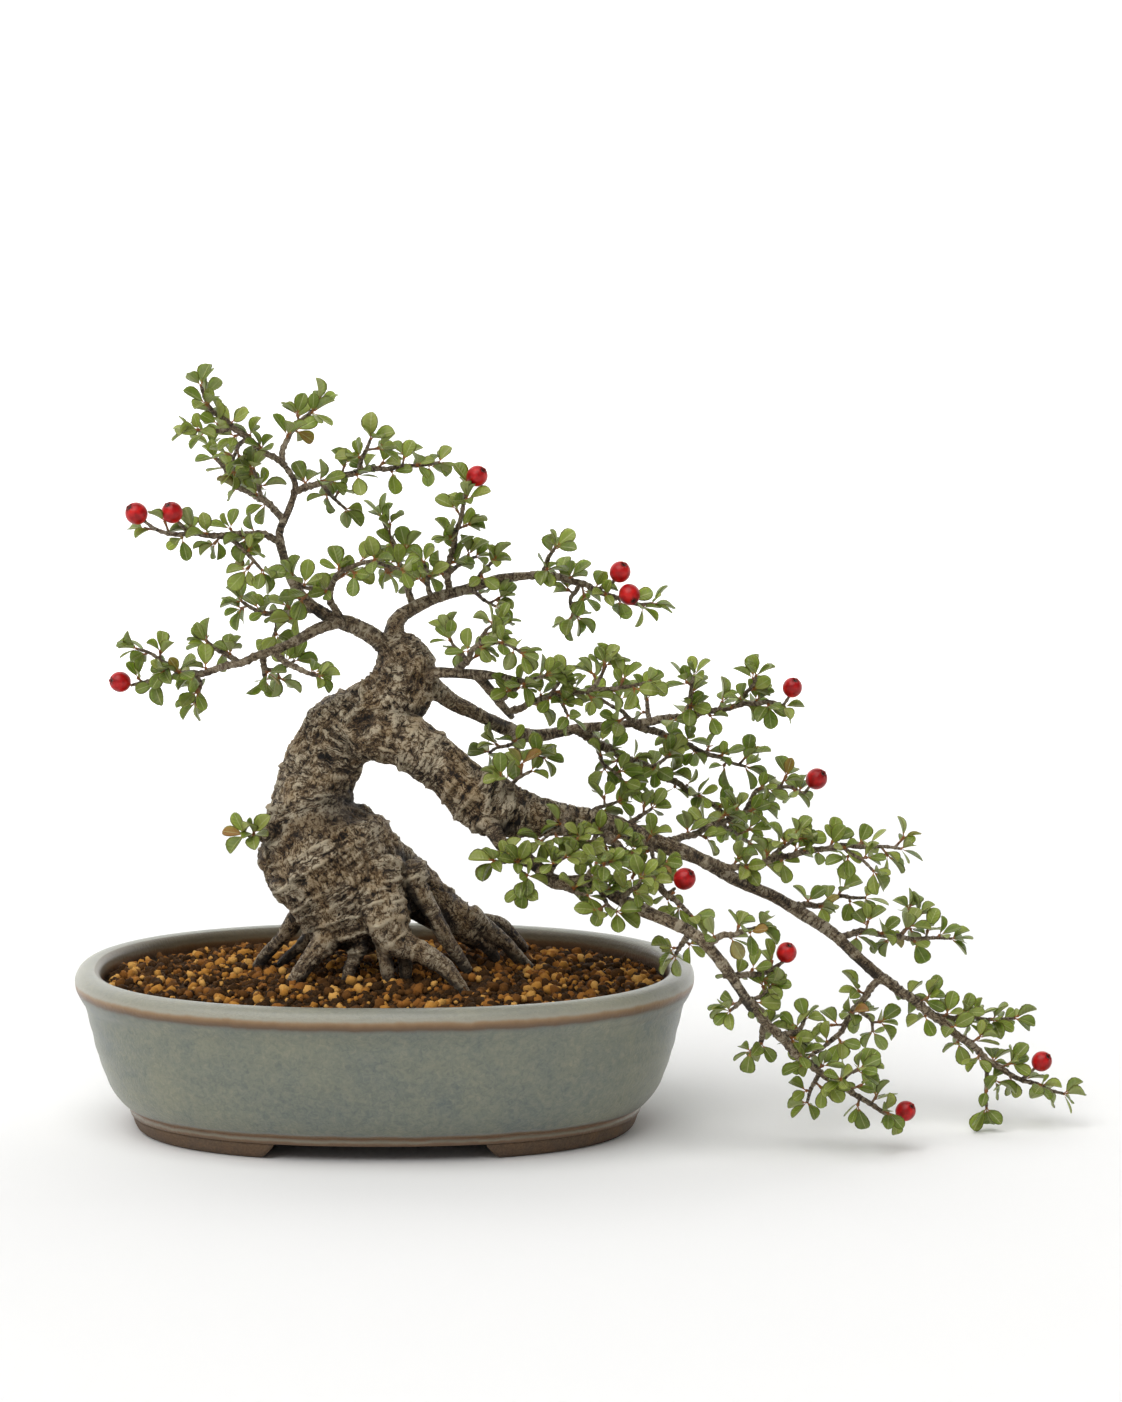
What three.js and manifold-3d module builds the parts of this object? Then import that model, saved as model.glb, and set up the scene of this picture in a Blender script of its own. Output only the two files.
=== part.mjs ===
// Cotoneaster bonsai of semi-cascade form in a glazed oval pot.
// Millimetres, +Z up. X runs along the pot's length and Y across it. The trunk, limbs and leaf sprays are
// laid out from the middle of the pot's underside, and the finished tree is shifted so that the origin is
// under the middle of the whole object, on the table.
import * as THREE from 'three';
import { mergeVertices } from 'three/addons/utils/BufferGeometryUtils.js';
import Module from 'manifold-3d';

const wasm = await Module();
wasm.setup();

// Driving dimensions
const gap = 0.3; // clearance between pieces that touch
const potHalfLength = 100;
const potHalfWidth = 77.5;
const potPower = 2.3; // 2 is an ellipse, more is squarer
const potHeight = 52;
const footHeight = 5.5;
const floorTop = 12;
const footGapHalf = 35.5; // half of the open space between the two feet
const drainRadius = 9;
const drainAt = 44; // distance of each drain hole from the pot's middle
const screenPitch = 7;
const screenBar = 1.6;
const screenThickness = 0.8;
const wireRadius = 0.6;
const soilEdge = 47.6; // soil height at the pot's wall
const soilCrown = 50; // soil height under the trunk
const berryRadius = 3.3;
const leafLength = 9.6;
const leafHalf = 0.45; // half the thickness at the midrib
const leafSpacing = 9.5; // along a twig
const fineness = 0.12; // joined wood and leaves keep their shape to within this
const goldenAngle = 2.39996; // radians from one leaf to the next around a twig

const colours = {
  glaze: 0x7f8f8a,
  soil: 0x9a6a35,
  screen: 0x2b2b2b,
  wire: 0xb5835a,
  bark: 0x7d6a58,
  leaf: 0x5f7436,
  berry: 0xb5241c,
};

// Outer wall of the pot from its underside to the rolled rim: height, half length
const potOuter = [
  [5, 80], [7, 84.2], [11.8, 87.4], [18.4, 90.7], [28, 93.9], [38, 96.1], [43, 98.1], [46.3, 99.7],
  [49, 100], [51.2, 98.4], [52, 96],
];

// Inner wall from the rim's crest down to the floor
const potInner = [
  [52, 94], [50.6, 91.8], [40, 90], [28, 87.5], [16, 82.5], [floorTop, 75],
];

// Each stretch of wood is a path of x, y, z and radius
const wood = {
  trunk: [
    [[-7, 0, 64, 17], [-9, 0, 71, 19], [-13, 0, 80, 20.5], [-19, 0, 89, 21.5], [-22, 1, 96, 17.5],
      [-23, 2, 104, 13], [-21, 4, 112, 12], [-18, 4, 119, 12], [-14, 4, 127, 11.5], [-7, 3, 133, 10],
      [0, 2, 137, 10.5], [5, 2, 142, 10.5], [6, 2, 148, 10], [5, 3, 153, 8], [3, 3, 157, 5]],
    [[-15, 4, 97, 11], [-9, 5, 90, 11], [0, 6, 82, 10], [12, 8, 73, 8.4], [21, 10, 66, 6.5],
      [27, 12, 61, 4.4], [32, 14, 56, 2.8], [36, 17, 50, 1.6]],
    [[-10, 14, 87, 10], [3, 18, 76, 8], [14, 22, 67, 6], [22, 27, 60, 4], [29, 33, 52, 2.2]],
    [[-24, -2, 87, 9], [-32, -3, 88, 7.6], [-36, -4, 88, 6], [-38, -4, 89, 4.5]],
    [[-27, -4, 94, 5], [-31, -7, 96, 3.8], [-36, -9, 96, 3.2]],
    [[-22, 0, 78, 7], [-25, 2, 72, 5], [-29, 5, 66, 3.4], [-33, 8, 60, 2.5], [-39, 11, 53, 2.1],
      [-43, 14, 47, 1.6]],
    [[-14, -6, 77, 7], [-15, -10, 70, 5], [-18, -13, 63, 4.2], [-23, -15, 57, 3.2],
      [-27, -17, 52, 2.6], [-31, -19, 47, 1.9]],
    [[-21, 6, 67, 4], [-25, 9, 59, 2.5], [-31, 12, 53, 2], [-35, 14, 49, 1.6]],
    [[-8, -10, 70, 4.5], [-8, -13, 61, 2.4], [-11, -14, 53, 2.1], [-12, -14, 47, 1.8]],
    [[0, -14, 69, 4.5], [0, -17, 61, 2.4], [1, -18, 55, 2.1], [2, -18, 48, 1.8]],
    [[-4, -8, 85, 10], [-2, -12, 77, 8.6], [1, -16, 69, 7.4], [5, -19, 63, 5], [12, -21, 60, 3.5],
      [19, -23, 56, 3], [23, -25, 52, 2.4], [27, -27, 47, 1.9]],
    [[8, -6, 84, 6], [12, -7, 76, 3.2], [16, -6, 69, 2.8], [20, -5, 61, 2.5], [24, -4, 55, 2.1],
      [27, -3, 50, 1.7]],
    [[27, 10, 66, 4], [32, 12, 62, 2.9], [38, 14, 57, 2.5], [43, 16, 51, 2.1], [47, 17, 47, 1.7]],
    [[27, 20, 61, 4], [32, 22, 62, 3.2], [37, 25, 60, 2.8], [41, 28, 56, 2.4], [45, 31, 51, 1.8]],
    [[-15, 12, 71, 7], [-22, 26, 60, 4.2], [-29, 38, 50, 2.2]],
    [[-4, 14, 69, 7], [1, 30, 59, 4.2], [5, 46, 49, 2.2]],
    [[5, -12, 65, 4], [7, -14, 58, 2.4], [7, -15, 50, 1.8]],
  ],
  cascade_limb: [
    [[-9, 1, 126, 8.2], [-1, -4, 128, 9.2], [8, -6, 125, 8.6], [16, -7, 120, 8.2], [24, -8, 113, 8.4],
      [33, -8, 106, 9], [41, -7, 103, 8.4], [50, -6, 101, 6.4], [58, -4, 100, 5], [67, -3, 99, 4.1],
      [76, -2, 97, 3.4], [87, 0, 92, 2.9], [102, 3, 86, 2.5], [115, 6, 78, 2.2], [128, 6, 72, 2.1],
      [144, 4, 62, 1.95], [153, 2, 54, 1.85], [161, 0, 47, 1.75]],
  ],
  lower_limb: [
    [[32, -12, 104, 3], [35, -17, 99, 2.7], [40, -22, 93, 2.4], [48, -28, 90, 2.2],
      [55, -34, 85, 2.4], [66, -40, 86, 2], [76, -44, 81, 2], [86, -48, 77, 1.95], [98, -52, 72, 1.9],
      [107, -54, 63, 1.85], [117, -54, 48, 1.6]],
  ],
  right_limb: [
    [[13, 4, 143, 4.2], [18, 6, 140, 3.4], [23, 8, 136, 2.8], [32, 12, 131, 2.5], [39, 15, 127, 2.3],
      [48, 18, 124, 2.1], [62, 20, 126, 1.8], [75, 22, 127, 1.5], [88, 24, 128, 1.35]],
  ],
  front_limb: [
    [[13, -2, 146, 2.8], [18, -6, 148, 2], [31, -11, 148, 1.6], [37, -14, 148, 1.25],
      [43, -16, 147, 1]],
    [[30, -10, 148, 1.8], [34, -8, 143, 1.7], [38, -3, 137, 1.5], [41, 6, 132, 1.2]],
  ],
  upper_limb: [
    [[3, 4, 157, 3.4], [4, 8, 163, 2.6], [8, 11, 166, 2.3], [17, 14, 170, 2], [26, 18, 172, 1.75],
      [37, 21, 175, 1.55], [48, 23, 176, 1.4]],
  ],
  apex_limb: [
    [[1, 2, 155, 3.4], [-4, 1, 159, 2.9], [-9, 0, 162, 2.6], [-15, 0, 164, 2.3], [-20, -1, 167, 2.1],
      [-25, -2, 171, 1.9], [-29, -3, 177, 1.7], [-32, -3, 186, 1.55], [-33, -3, 193, 1.45],
      [-30, -1, 200, 1.3], [-28, 0, 208, 1.2], [-32, -1, 215, 1]],
  ],
  left_limb: [
    [[-14, -2, 164, 2], [-21, -6, 162, 1.8], [-27, -9, 159, 1.6], [-34, -12, 156, 1.4]],
  ],
};

// Leaf sprays: twigs that grow from a limb, bare up to the fraction leafyFrom and leafy beyond it
const bare = 2;
const sprays = {
  spray_apex_left: [
    { leafyFrom: 0.25, path: [[-31, -1, 214, 1], [-39, -5, 220, 0.95], [-47, -8, 227, 0.9],
        [-54, -10, 233, 0.7],
        [-57, -11, 240, 0.45]] },
    { leafyFrom: 0.3, path: [[-47, -8, 227, 0.8], [-54, -13, 226, 0.6], [-60, -17, 227, 0.4]] },
    { leafyFrom: 0.4, path: [[-43, -6, 223, 0.8], [-47, 0, 219, 0.6], [-48, 5, 212, 0.4]] },
  ],
  spray_apex_top: [
    { leafyFrom: 0.3, path: [[-32, -1, 215, 1], [-31, 3, 222, 0.85], [-27, 7, 227, 0.7],
        [-21, 10, 233, 0.4]] },
  ],
  spray_apex_right: [
    { leafyFrom: 0.1, path: [[-29, 0, 205, 1.2], [-20, 5, 208, 1], [-8, 11, 211, 0.9], [7, 17, 212, 0.7],
        [17, 20, 213, 0.4]] },
    { leafyFrom: 0.35, path: [[-8, 11, 211, 0.8], [-6, 6, 218, 0.6], [-4, 3, 222, 0.4]] },
    { leafyFrom: 0.35, path: [[-20, 5, 208, 0.8], [-17, 10, 203, 0.6], [-13, 14, 199, 0.4]] },
  ],
  spray_crown_left: [
    { leafyFrom: 0.2, path: [[-32, -2, 197, 1.15], [-39, 4, 203, 1], [-47, 10, 206, 0.9],
        [-52, 14, 212, 0.7],
        [-56, 17, 218, 0.4]] },
    { leafyFrom: 0.35, path: [[-39, 4, 203, 0.8], [-40, 0, 208, 0.6], [-41, -3, 213, 0.4]] },
  ],
  spray_left_high: [
    { leafyFrom: 0.2, path: [[-32, -3, 189, 1.2], [-39, -8, 193, 1], [-48, -13, 193, 1],
        [-61, -18, 194, 0.8],
        [-70, -21, 195, 0.6], [-75, -23, 199, 0.4]] },
    { leafyFrom: 0.2, path: [[-48, -13, 192, 0.8], [-42, -18, 187, 0.6], [-38, -20, 183, 0.4]] },
    { leafyFrom: bare, path: [[-61, -18, 194, 0.7], [-64, -20, 198, 0.45], [-65, -20, 199, 0.35]] },
  ],
  spray_middle: [
    { leafyFrom: 0.2, path: [[-14, 0, 165, 1.2], [-17, -8, 174, 1], [-12, -14, 182, 0.8],
        [-3, -18, 185, 0.6],
        [6, -20, 183, 0.4]] },
    { leafyFrom: 0.35, path: [[-17, -8, 174, 0.8], [-24, -12, 176, 0.6], [-28, -16, 180, 0.4]] },
  ],
  spray_left_mid: [
    { leafyFrom: 0.25, path: [[-21, -1, 168, 1.2], [-29, 7, 166, 1], [-39, 12, 165, 0.8],
        [-46, 16, 168, 0.4]] },
    { leafyFrom: 0.3, path: [[-37, 11, 165, 0.8], [-35, 15, 160, 0.6], [-37, 18, 155, 0.4]] },
  ],
  spray_left_low: [
    { leafyFrom: 0.5, path: [[-32, -12, 157, 1.35], [-44, -15, 153, 1.2], [-55, -17, 150, 1.05],
        [-64, -19, 149, 0.9],
        [-73, -20, 147, 0.7], [-79, -20, 146, 0.4]] },
    { leafyFrom: 0.25, path: [[-64, -19, 149, 0.8], [-69, -22, 154, 0.6], [-77, -24, 158, 0.4]] },
    { leafyFrom: 0.4, path: [[-59, -18, 149, 0.7], [-58, -12, 144, 0.5], [-60, -8, 139, 0.4]] },
    { leafyFrom: 0.3, path: [[-45, -15, 152, 1.1], [-51, -10, 155, 0.8], [-56, -6, 158, 0.4]] },
    { leafyFrom: 0.75, path: [[-34, -13, 155, 1.1], [-27, -18, 151, 0.9], [-20, -22, 149, 0.5]] },
    { leafyFrom: 0.5, path: [[-38, -13, 154, 1.1], [-38, -9, 149, 0.8], [-38, -6, 146, 0.5]] },
    { leafyFrom: 0.4, path: [[-38, -10, 150, 0.7], [-32, -5, 149, 0.5], [-29, -2, 151, 0.4]] },
  ],
  spray_upper_tip: [
    { leafyFrom: 0.2, path: [[47, 23, 176, 1.4], [59, 21, 175, 1.1], [70, 18, 171, 0.85],
        [80, 15, 168, 0.7],
        [86, 13, 168, 0.4]] },
    { leafyFrom: bare, path: [[69, 18, 172, 0.7], [73, 16, 174, 0.45], [75, 15, 176, 0.35]] },
    { leafyFrom: 0.35, path: [[63, 20, 174, 0.8], [60, 26, 167, 0.6], [62, 30, 162, 0.4]] },
    { leafyFrom: 0.35, path: [[50, 23, 175, 1], [53, 17, 182, 0.7], [55, 14, 186, 0.4]] },
  ],
  spray_upper_post: [
    { leafyFrom: 0.15, path: [[21, 16, 171, 1.2], [20, 14, 176, 1], [22, 11, 186, 0.9],
        [25, 8, 198, 0.7], [27, 6, 207, 0.4]] },
    { leafyFrom: 0.35, path: [[21, 13, 178, 0.8], [25, 18, 181, 0.6], [29, 22, 182, 0.4]] },
  ],
  spray_upper_left: [
    { leafyFrom: 0.3, path: [[10, 12, 166, 1.2], [6, 18, 176, 1], [3, 22, 185, 0.8],
        [-1, 25, 194, 0.4]] },
    { leafyFrom: 0.4, path: [[5, 19, 179, 0.8], [1, 25, 177, 0.5], [-1, 28, 180, 0.4]] },
  ],
  spray_front_up: [
    { leafyFrom: 0.25, path: [[23, -8, 148, 1.2], [27, -14, 153, 1], [30, -18, 158, 0.8],
        [37, -21, 160, 0.6],
        [44, -24, 157, 0.4]] },
    { leafyFrom: 0.35, path: [[27, -14, 153, 0.8], [23, -10, 157, 0.5], [21, -8, 161, 0.4]] },
    { leafyFrom: 0.4, path: [[31, -18, 158, 0.7], [33, -14, 163, 0.5], [37, -12, 165, 0.4]] },
  ],
  spray_front_tip: [
    { leafyFrom: 0.2, path: [[41, -1, 135, 1.2], [47, -6, 138, 1], [53, -10, 141, 0.9],
        [61, -14, 143, 0.8],
        [67, -16, 144, 0.7], [69, -16, 147, 0.6], [71, -15, 151, 0.4]] },
    { leafyFrom: 0.3, path: [[66, -16, 144, 0.7], [75, -19, 145, 0.6], [82, -22, 146, 0.5],
        [84, -22, 147, 0.4]] },
    { leafyFrom: 0.5, path: [[56, -11, 141, 0.7], [58, -15, 138, 0.5], [59, -17, 136, 0.4]] },
    { leafyFrom: 0.5, path: [[52, -9, 140, 0.7], [55, -14, 144, 0.5], [57, -15, 147, 0.4]] },
  ],
  spray_front_down: [
    { leafyFrom: 0.3, path: [[42, -15, 147, 1], [48, -18, 147, 0.8], [52, -20, 149, 0.4]] },
  ],
  spray_right_near: [
    { leafyFrom: 0.35, path: [[41, 15, 126, 1.2], [42, 7, 123, 0.9], [45, 1, 120, 0.7],
        [51, -3, 120, 0.4]] },
    { leafyFrom: 0.5, path: [[42, 8, 123, 0.7], [37, 12, 121, 0.5], [34, 16, 119, 0.4]] },
  ],
  spray_right_low: [
    { leafyFrom: 0.15, path: [[62, 20, 126, 1.7], [70, 24, 120, 1.5], [79, 27, 115, 1.3],
        [90, 31, 109, 1.1],
        [103, 34, 101, 0.8], [114, 36, 94, 0.4]] },
    { leafyFrom: 0.3, path: [[68, 23, 121, 0.8], [71, 17, 115, 0.6], [77, 13, 110, 0.4]] },
    { leafyFrom: 0.4, path: [[84, 29, 112, 0.8], [89, 24, 114, 0.6], [92, 21, 117, 0.4]] },
  ],
  spray_right_mid: [
    { leafyFrom: 0.25, path: [[81, 23, 127, 1.3], [90, 28, 123, 1.1], [102, 33, 117, 0.9],
        [117, 38, 111, 0.4]] },
    { leafyFrom: 0.45, path: [[83, 24, 126, 0.8], [77, 15, 132, 0.7], [70, 11, 137, 0.4]] },
  ],
  spray_right_tip: [
    { leafyFrom: 0.1, path: [[87, 24, 128, 1.35], [100, 24, 130, 1.1], [113, 22, 133, 0.9],
        [123, 19, 135, 0.75],
        [129, 17, 134, 0.45]] },
    { leafyFrom: 0.3, path: [[113, 22, 133, 0.8], [118, 17, 139, 0.6], [120, 14, 144, 0.4]] },
    { leafyFrom: bare, path: [[129, 17, 134, 0.55], [131, 17, 137, 0.4]] },
    { leafyFrom: 0.25, path: [[98, 24, 130, 0.9], [99, 19, 137, 0.7], [100, 15, 144, 0.4]] },
    { leafyFrom: 0.3, path: [[86, 24, 128, 0.9], [85, 29, 132, 0.7], [84, 32, 137, 0.4]] },
  ],
  spray_saddle: [
    { leafyFrom: 0.7, path: [[39, -10, 107, 1.4], [41, -16, 113, 0.9], [38, -19, 116, 0.5]] },
    { leafyFrom: 0.6, path: [[40, -15, 112, 0.8], [43, -14, 115, 0.6], [47, -13, 117, 0.4]] },
  ],
  spray_fork: [
    { leafyFrom: 0.4, path: [[59, -8, 103, 1.3], [58, -18, 100, 1.1], [59, -22, 96, 0.8],
        [63, -25, 93, 0.4]] },
    { leafyFrom: 0.5, path: [[58, -17, 100, 0.8], [54, -23, 99, 0.5], [51, -26, 97, 0.4]] },
  ],
  spray_cascade_back: [
    { leafyFrom: 0.25, path: [[90, 0, 92, 1.25], [99, 8, 93, 1.05], [109, 16, 96, 0.9],
        [122, 24, 100, 0.4]] },
    { leafyFrom: 0.4, path: [[109, 16, 96, 0.7], [114, 22, 91, 0.5], [118, 26, 88, 0.4]] },
    { leafyFrom: 0.3, path: [[117, 23, 98, 0.8], [121, 29, 104, 0.7], [130, 33, 105, 0.6],
        [137, 36, 102, 0.5],
        [139, 36, 105, 0.4]] },
  ],
  spray_cascade_high: [
    { leafyFrom: 0.15, path: [[103, 3, 86, 1.25], [115, -3, 84, 1.05], [129, -9, 89, 1],
        [147, -14, 93, 0.8],
        [165, -18, 93, 0.4]] },
    { leafyFrom: 0.3, path: [[123, -7, 87, 0.7], [130, -12, 94, 0.5], [132, -15, 97, 0.4]] },
    { leafyFrom: 0.3, path: [[147, -14, 93, 0.7], [152, -20, 90, 0.5], [156, -23, 87, 0.4]] },
  ],
  spray_cascade_mid: [
    { leafyFrom: 0.25, path: [[130, 6, 71, 1.1], [140, 12, 69, 0.9], [148, 17, 71, 0.7],
        [156, 21, 70, 0.4]] },
  ],
  spray_cascade_right: [
    { leafyFrom: 0.15, path: [[147, 4, 60, 1.15], [155, 9, 61, 0.9], [169, 14, 58, 0.8],
        [184, 18, 57, 0.4]] },
    { leafyFrom: 0.4, path: [[167, 14, 58, 0.7], [172, 19, 62, 0.5], [174, 22, 64, 0.4]] },
  ],
  spray_cascade_under: [
    { leafyFrom: 0.2, path: [[160, 0, 47, 1.25], [152, -7, 39, 1], [145, -12, 30, 0.8],
        [137, -16, 25, 0.4]] },
    { leafyFrom: 0.4, path: [[152, -6, 39, 0.7], [157, -2, 34, 0.5], [158, 1, 30, 0.4]] },
  ],
  spray_cascade_tip: [
    { leafyFrom: 0.15, path: [[160, 0, 48, 1.75], [172, -4, 40, 1.45], [188, -8, 28, 1.15],
        [201, -9, 18, 0.85],
        [219, -8, 11, 0.4]] },
    { leafyFrom: 0.25, path: [[178, -5, 36, 0.9], [188, 0, 34, 0.7], [204, 5, 33, 0.4]] },
    { leafyFrom: 0.3, path: [[194, -9, 21, 0.8], [194, -12, 15, 0.6], [194, -14, 8, 0.4]] },
    { leafyFrom: bare, path: [[206, -9, 16, 0.7], [208, -10, 18, 0.45], [210, -10, 20, 0.35]] },
  ],
  spray_under: [
    { leafyFrom: 0.3, path: [[68, -5, 99, 1.5], [80, -20, 89, 1.35], [89, -30, 82, 1.1],
        [98, -38, 75, 0.5]] },
    { leafyFrom: bare, path: [[91, -32, 81, 0.7], [93, -34, 83, 0.4]] },
  ],
  spray_lower_upper: [
    { leafyFrom: 0.5, path: [[42, -24, 92, 1.4], [39, -31, 91, 0.8], [36, -36, 92, 0.4]] },
    { leafyFrom: 0.5, path: [[40, -27, 92, 0.8], [44, -34, 89, 0.5], [46, -38, 88, 0.4]] },
  ],
  spray_lower_inner: [
    { leafyFrom: 0.25, path: [[102, -53, 68, 1.3], [107, -58, 72, 1], [113, -62, 74, 0.7],
        [118, -64, 76, 0.4]] },
  ],
  spray_lower_mid: [
    { leafyFrom: 0.2, path: [[108, -54, 59, 1.1], [117, -49, 58, 0.9], [126, -44, 60, 0.6],
        [127, -43, 61, 0.4]] },
  ],
  spray_lower_tip: [
    { leafyFrom: 0.3, path: [[116, -54, 50, 1.6], [129, -50, 35, 1.25], [138, -48, 27, 1.05],
        [147, -46, 21, 0.9],
        [157, -44, 14, 0.7], [164, -43, 11, 0.4]] },
    { leafyFrom: 0.35, path: [[139, -48, 27, 0.8], [136, -44, 21, 0.6], [135, -42, 16, 0.4]] },
    { leafyFrom: 0.4, path: [[143, -47, 23, 0.7], [148, -52, 27, 0.5], [150, -55, 29, 0.4]] },
    { leafyFrom: 0.3, path: [[121, -53, 44, 1.2], [120, -48, 37, 0.8], [117, -45, 33, 0.4]] },
    { leafyFrom: 0.3, path: [[125, -51, 39, 1.2], [131, -45, 39, 0.9], [134, -41, 42, 0.4]] },
  ],
  spray_lower_left: [
    { leafyFrom: 0.4, path: [[97, -52, 72, 1.2], [95, -46, 67, 0.8], [93, -42, 63, 0.4]] },
  ],
  spray_base: [
    { leafyFrom: 0.7, path: [[-37, -5, 93, 1], [-41, -8, 95, 0.8], [-44, -10, 96, 0.4]] },
  ],
};

// Berry centres
const berries = [
  [-77, -23, 201], [-66, -20, 201], [30, 6, 210], [76, 15, 178], [79, 12, 171], [-83, -20, 147],
  [132, 17, 140], [141, 36, 107], [128, -43, 64], [166, -43, 13], [212, -10, 22], [96, -34, 86],
];

// Points of an oval that is squarer than an ellipse
function ovalRing(halfLength, z, count, inset = 0) {
  const halfWidth = halfLength - (potHalfLength - potHalfWidth);
  const ring = [];
  for (let i = 0; i < count; i += 1) {
    const angle = (2 * Math.PI * i) / count;
    const c = Math.cos(angle);
    const s = Math.sin(angle);
    ring.push(new THREE.Vector3(
      (halfLength - inset) * Math.sign(c) * Math.abs(c) ** (2 / potPower),
      (halfWidth - inset) * Math.sign(s) * Math.abs(s) ** (2 / potPower),
      z,
    ));
  }
  return ring;
}

// Closed skin over a row of rings, with a flat fan at each end
function loft(rings) {
  const count = rings[0].length;
  const positions = [];
  const index = [];
  rings.flat().forEach((p) => positions.push(p.x, p.y, p.z));
  for (let j = 0; j < rings.length - 1; j += 1) {
    for (let i = 0; i < count; i += 1) {
      const a = j * count + i;
      const b = j * count + ((i + 1) % count);
      index.push(a, b, b + count, a, b + count, a + count);
    }
  }
  [0, rings.length - 1].forEach((j) => {
    const centre = new THREE.Vector3();
    rings[j].forEach((p) => centre.addScaledVector(p, 1 / count));
    const middle = positions.length / 3;
    positions.push(centre.x, centre.y, centre.z);
    for (let i = 0; i < count; i += 1) {
      const a = j * count + i;
      const b = j * count + ((i + 1) % count);
      index.push(...(j === 0 ? [middle, b, a] : [middle, a, b]));
    }
  });
  const geometry = new THREE.BufferGeometry();
  geometry.setAttribute('position', new THREE.Float32BufferAttribute(positions, 3));
  geometry.setIndex(index);
  return geometry;
}

function smoothCurve(path) {
  return new THREE.CatmullRomCurve3(path.map(([x, y, z]) => new THREE.Vector3(x, y, z)), false, 'centripetal');
}

// Round tube along a smooth curve through x, y, z, radius points, with blunted ends
function tube(path, sides, step, grow = 0) {
  const curve = smoothCurve(path);
  const count = Math.max(path.length - 1, Math.round(curve.getLength() / step));
  const rings = [];
  const side = new THREE.Vector3(0.31, 0.87, 0.38);
  for (let j = 0; j <= count; j += 1) {
    const t = j / count;
    const centre = curve.getPoint(t);
    const along = curve.getTangent(t);
    side.addScaledVector(along, -side.dot(along)).normalize();
    const up = new THREE.Vector3().crossVectors(along, side);
    const k = Math.min(Math.floor(t * (path.length - 1)), path.length - 2);
    const f = t * (path.length - 1) - k;
    const radius = path[k][3] * (1 - f) + path[k + 1][3] * f + grow;
    const ring = (shift, scale) => Array.from({ length: sides }, (_, i) => {
      const angle = (2 * Math.PI * i) / sides;
      return centre.clone()
        .addScaledVector(along, shift)
        .addScaledVector(side, radius * scale * Math.cos(angle))
        .addScaledVector(up, radius * scale * Math.sin(angle));
    });
    if (j === 0) {
      rings.push(ring(-0.6 * radius, 0.6));
    }
    rings.push(ring(0, 1));
    if (j === count) {
      rings.push(ring(0.6 * radius, 0.6));
    }
  }
  return loft(rings);
}

function solid(geometry) {
  const bare = geometry.clone();
  bare.deleteAttribute('normal');
  bare.deleteAttribute('uv');
  const merged = mergeVertices(bare, 1e-5);
  return new wasm.Manifold(new wasm.Mesh({
    numProp: 3,
    vertProperties: new Float32Array(merged.attributes.position.array),
    triVerts: new Uint32Array(merged.index.array),
  }));
}

function box(centre, size) {
  return solid(new THREE.BoxGeometry(...size).translate(...centre));
}

function cylinder(x, y, low, high, radius, sides) {
  const shape = new THREE.CylinderGeometry(radius, radius, high - low, sides);
  return solid(shape.rotateX(Math.PI / 2).translate(x, y, (low + high) / 2));
}

function ball(centre, radius) {
  const shape = new THREE.SphereGeometry(radius, 8, 6);
  return solid(shape.rotateX(Math.PI / 2).translate(...centre));
}

function join(solids) {
  return solids.reduce((a, b) => a.add(b));
}

// The largest connected body, so that no clipped crumb is left beside it
function largest(shape) {
  return shape.decompose().reduce((a, b) => (a.volume() > b.volume() ? a : b));
}

const tree = new THREE.Group();

function addPiece(name, shape, colour, roughness, metalness = 0) {
  const mesh = shape.getMesh();
  const geometry = new THREE.BufferGeometry();
  const corners = new Float32Array(mesh.vertProperties);
  geometry.setAttribute('position', new THREE.BufferAttribute(corners, 3));
  geometry.setIndex(new THREE.BufferAttribute(new Uint32Array(mesh.triVerts), 1));
  const material = new THREE.MeshStandardMaterial({ color: colour, roughness, metalness });
  const piece = new THREE.Mesh(geometry, material);
  piece.name = name;
  tree.add(piece);
}

// Pot: one fired body with two C-shaped feet and two drain holes
const segments = 32;
const drains = [-drainAt, drainAt];
const wall = solid(loft(potOuter.map(([z, half]) => ovalRing(half, z, segments))));
const aboveRim = [54, 94];
const hollowProfile = [...potInner].reverse().concat([aboveRim]);
const hollow = solid(loft(hollowProfile.map(([z, half]) => ovalRing(half, z, segments))));
const footRing = solid(loft([ovalRing(79.5, 0, segments), ovalRing(81, footHeight, segments)]))
  .subtract(solid(loft([ovalRing(68, -1, segments), ovalRing(68, 9, segments)])));
const feet = footRing.subtract(box([0, 0, 0], [2 * footGapHalf, 200, 2 * footHeight - 1]));
let pot = wall.add(feet).subtract(hollow);
drains.forEach((x) => {
  pot = pot.subtract(cylinder(x, 0, -1, 20, drainRadius, 20));
});
addPiece('pot', largest(pot), colours.glaze, 0.3);

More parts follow.
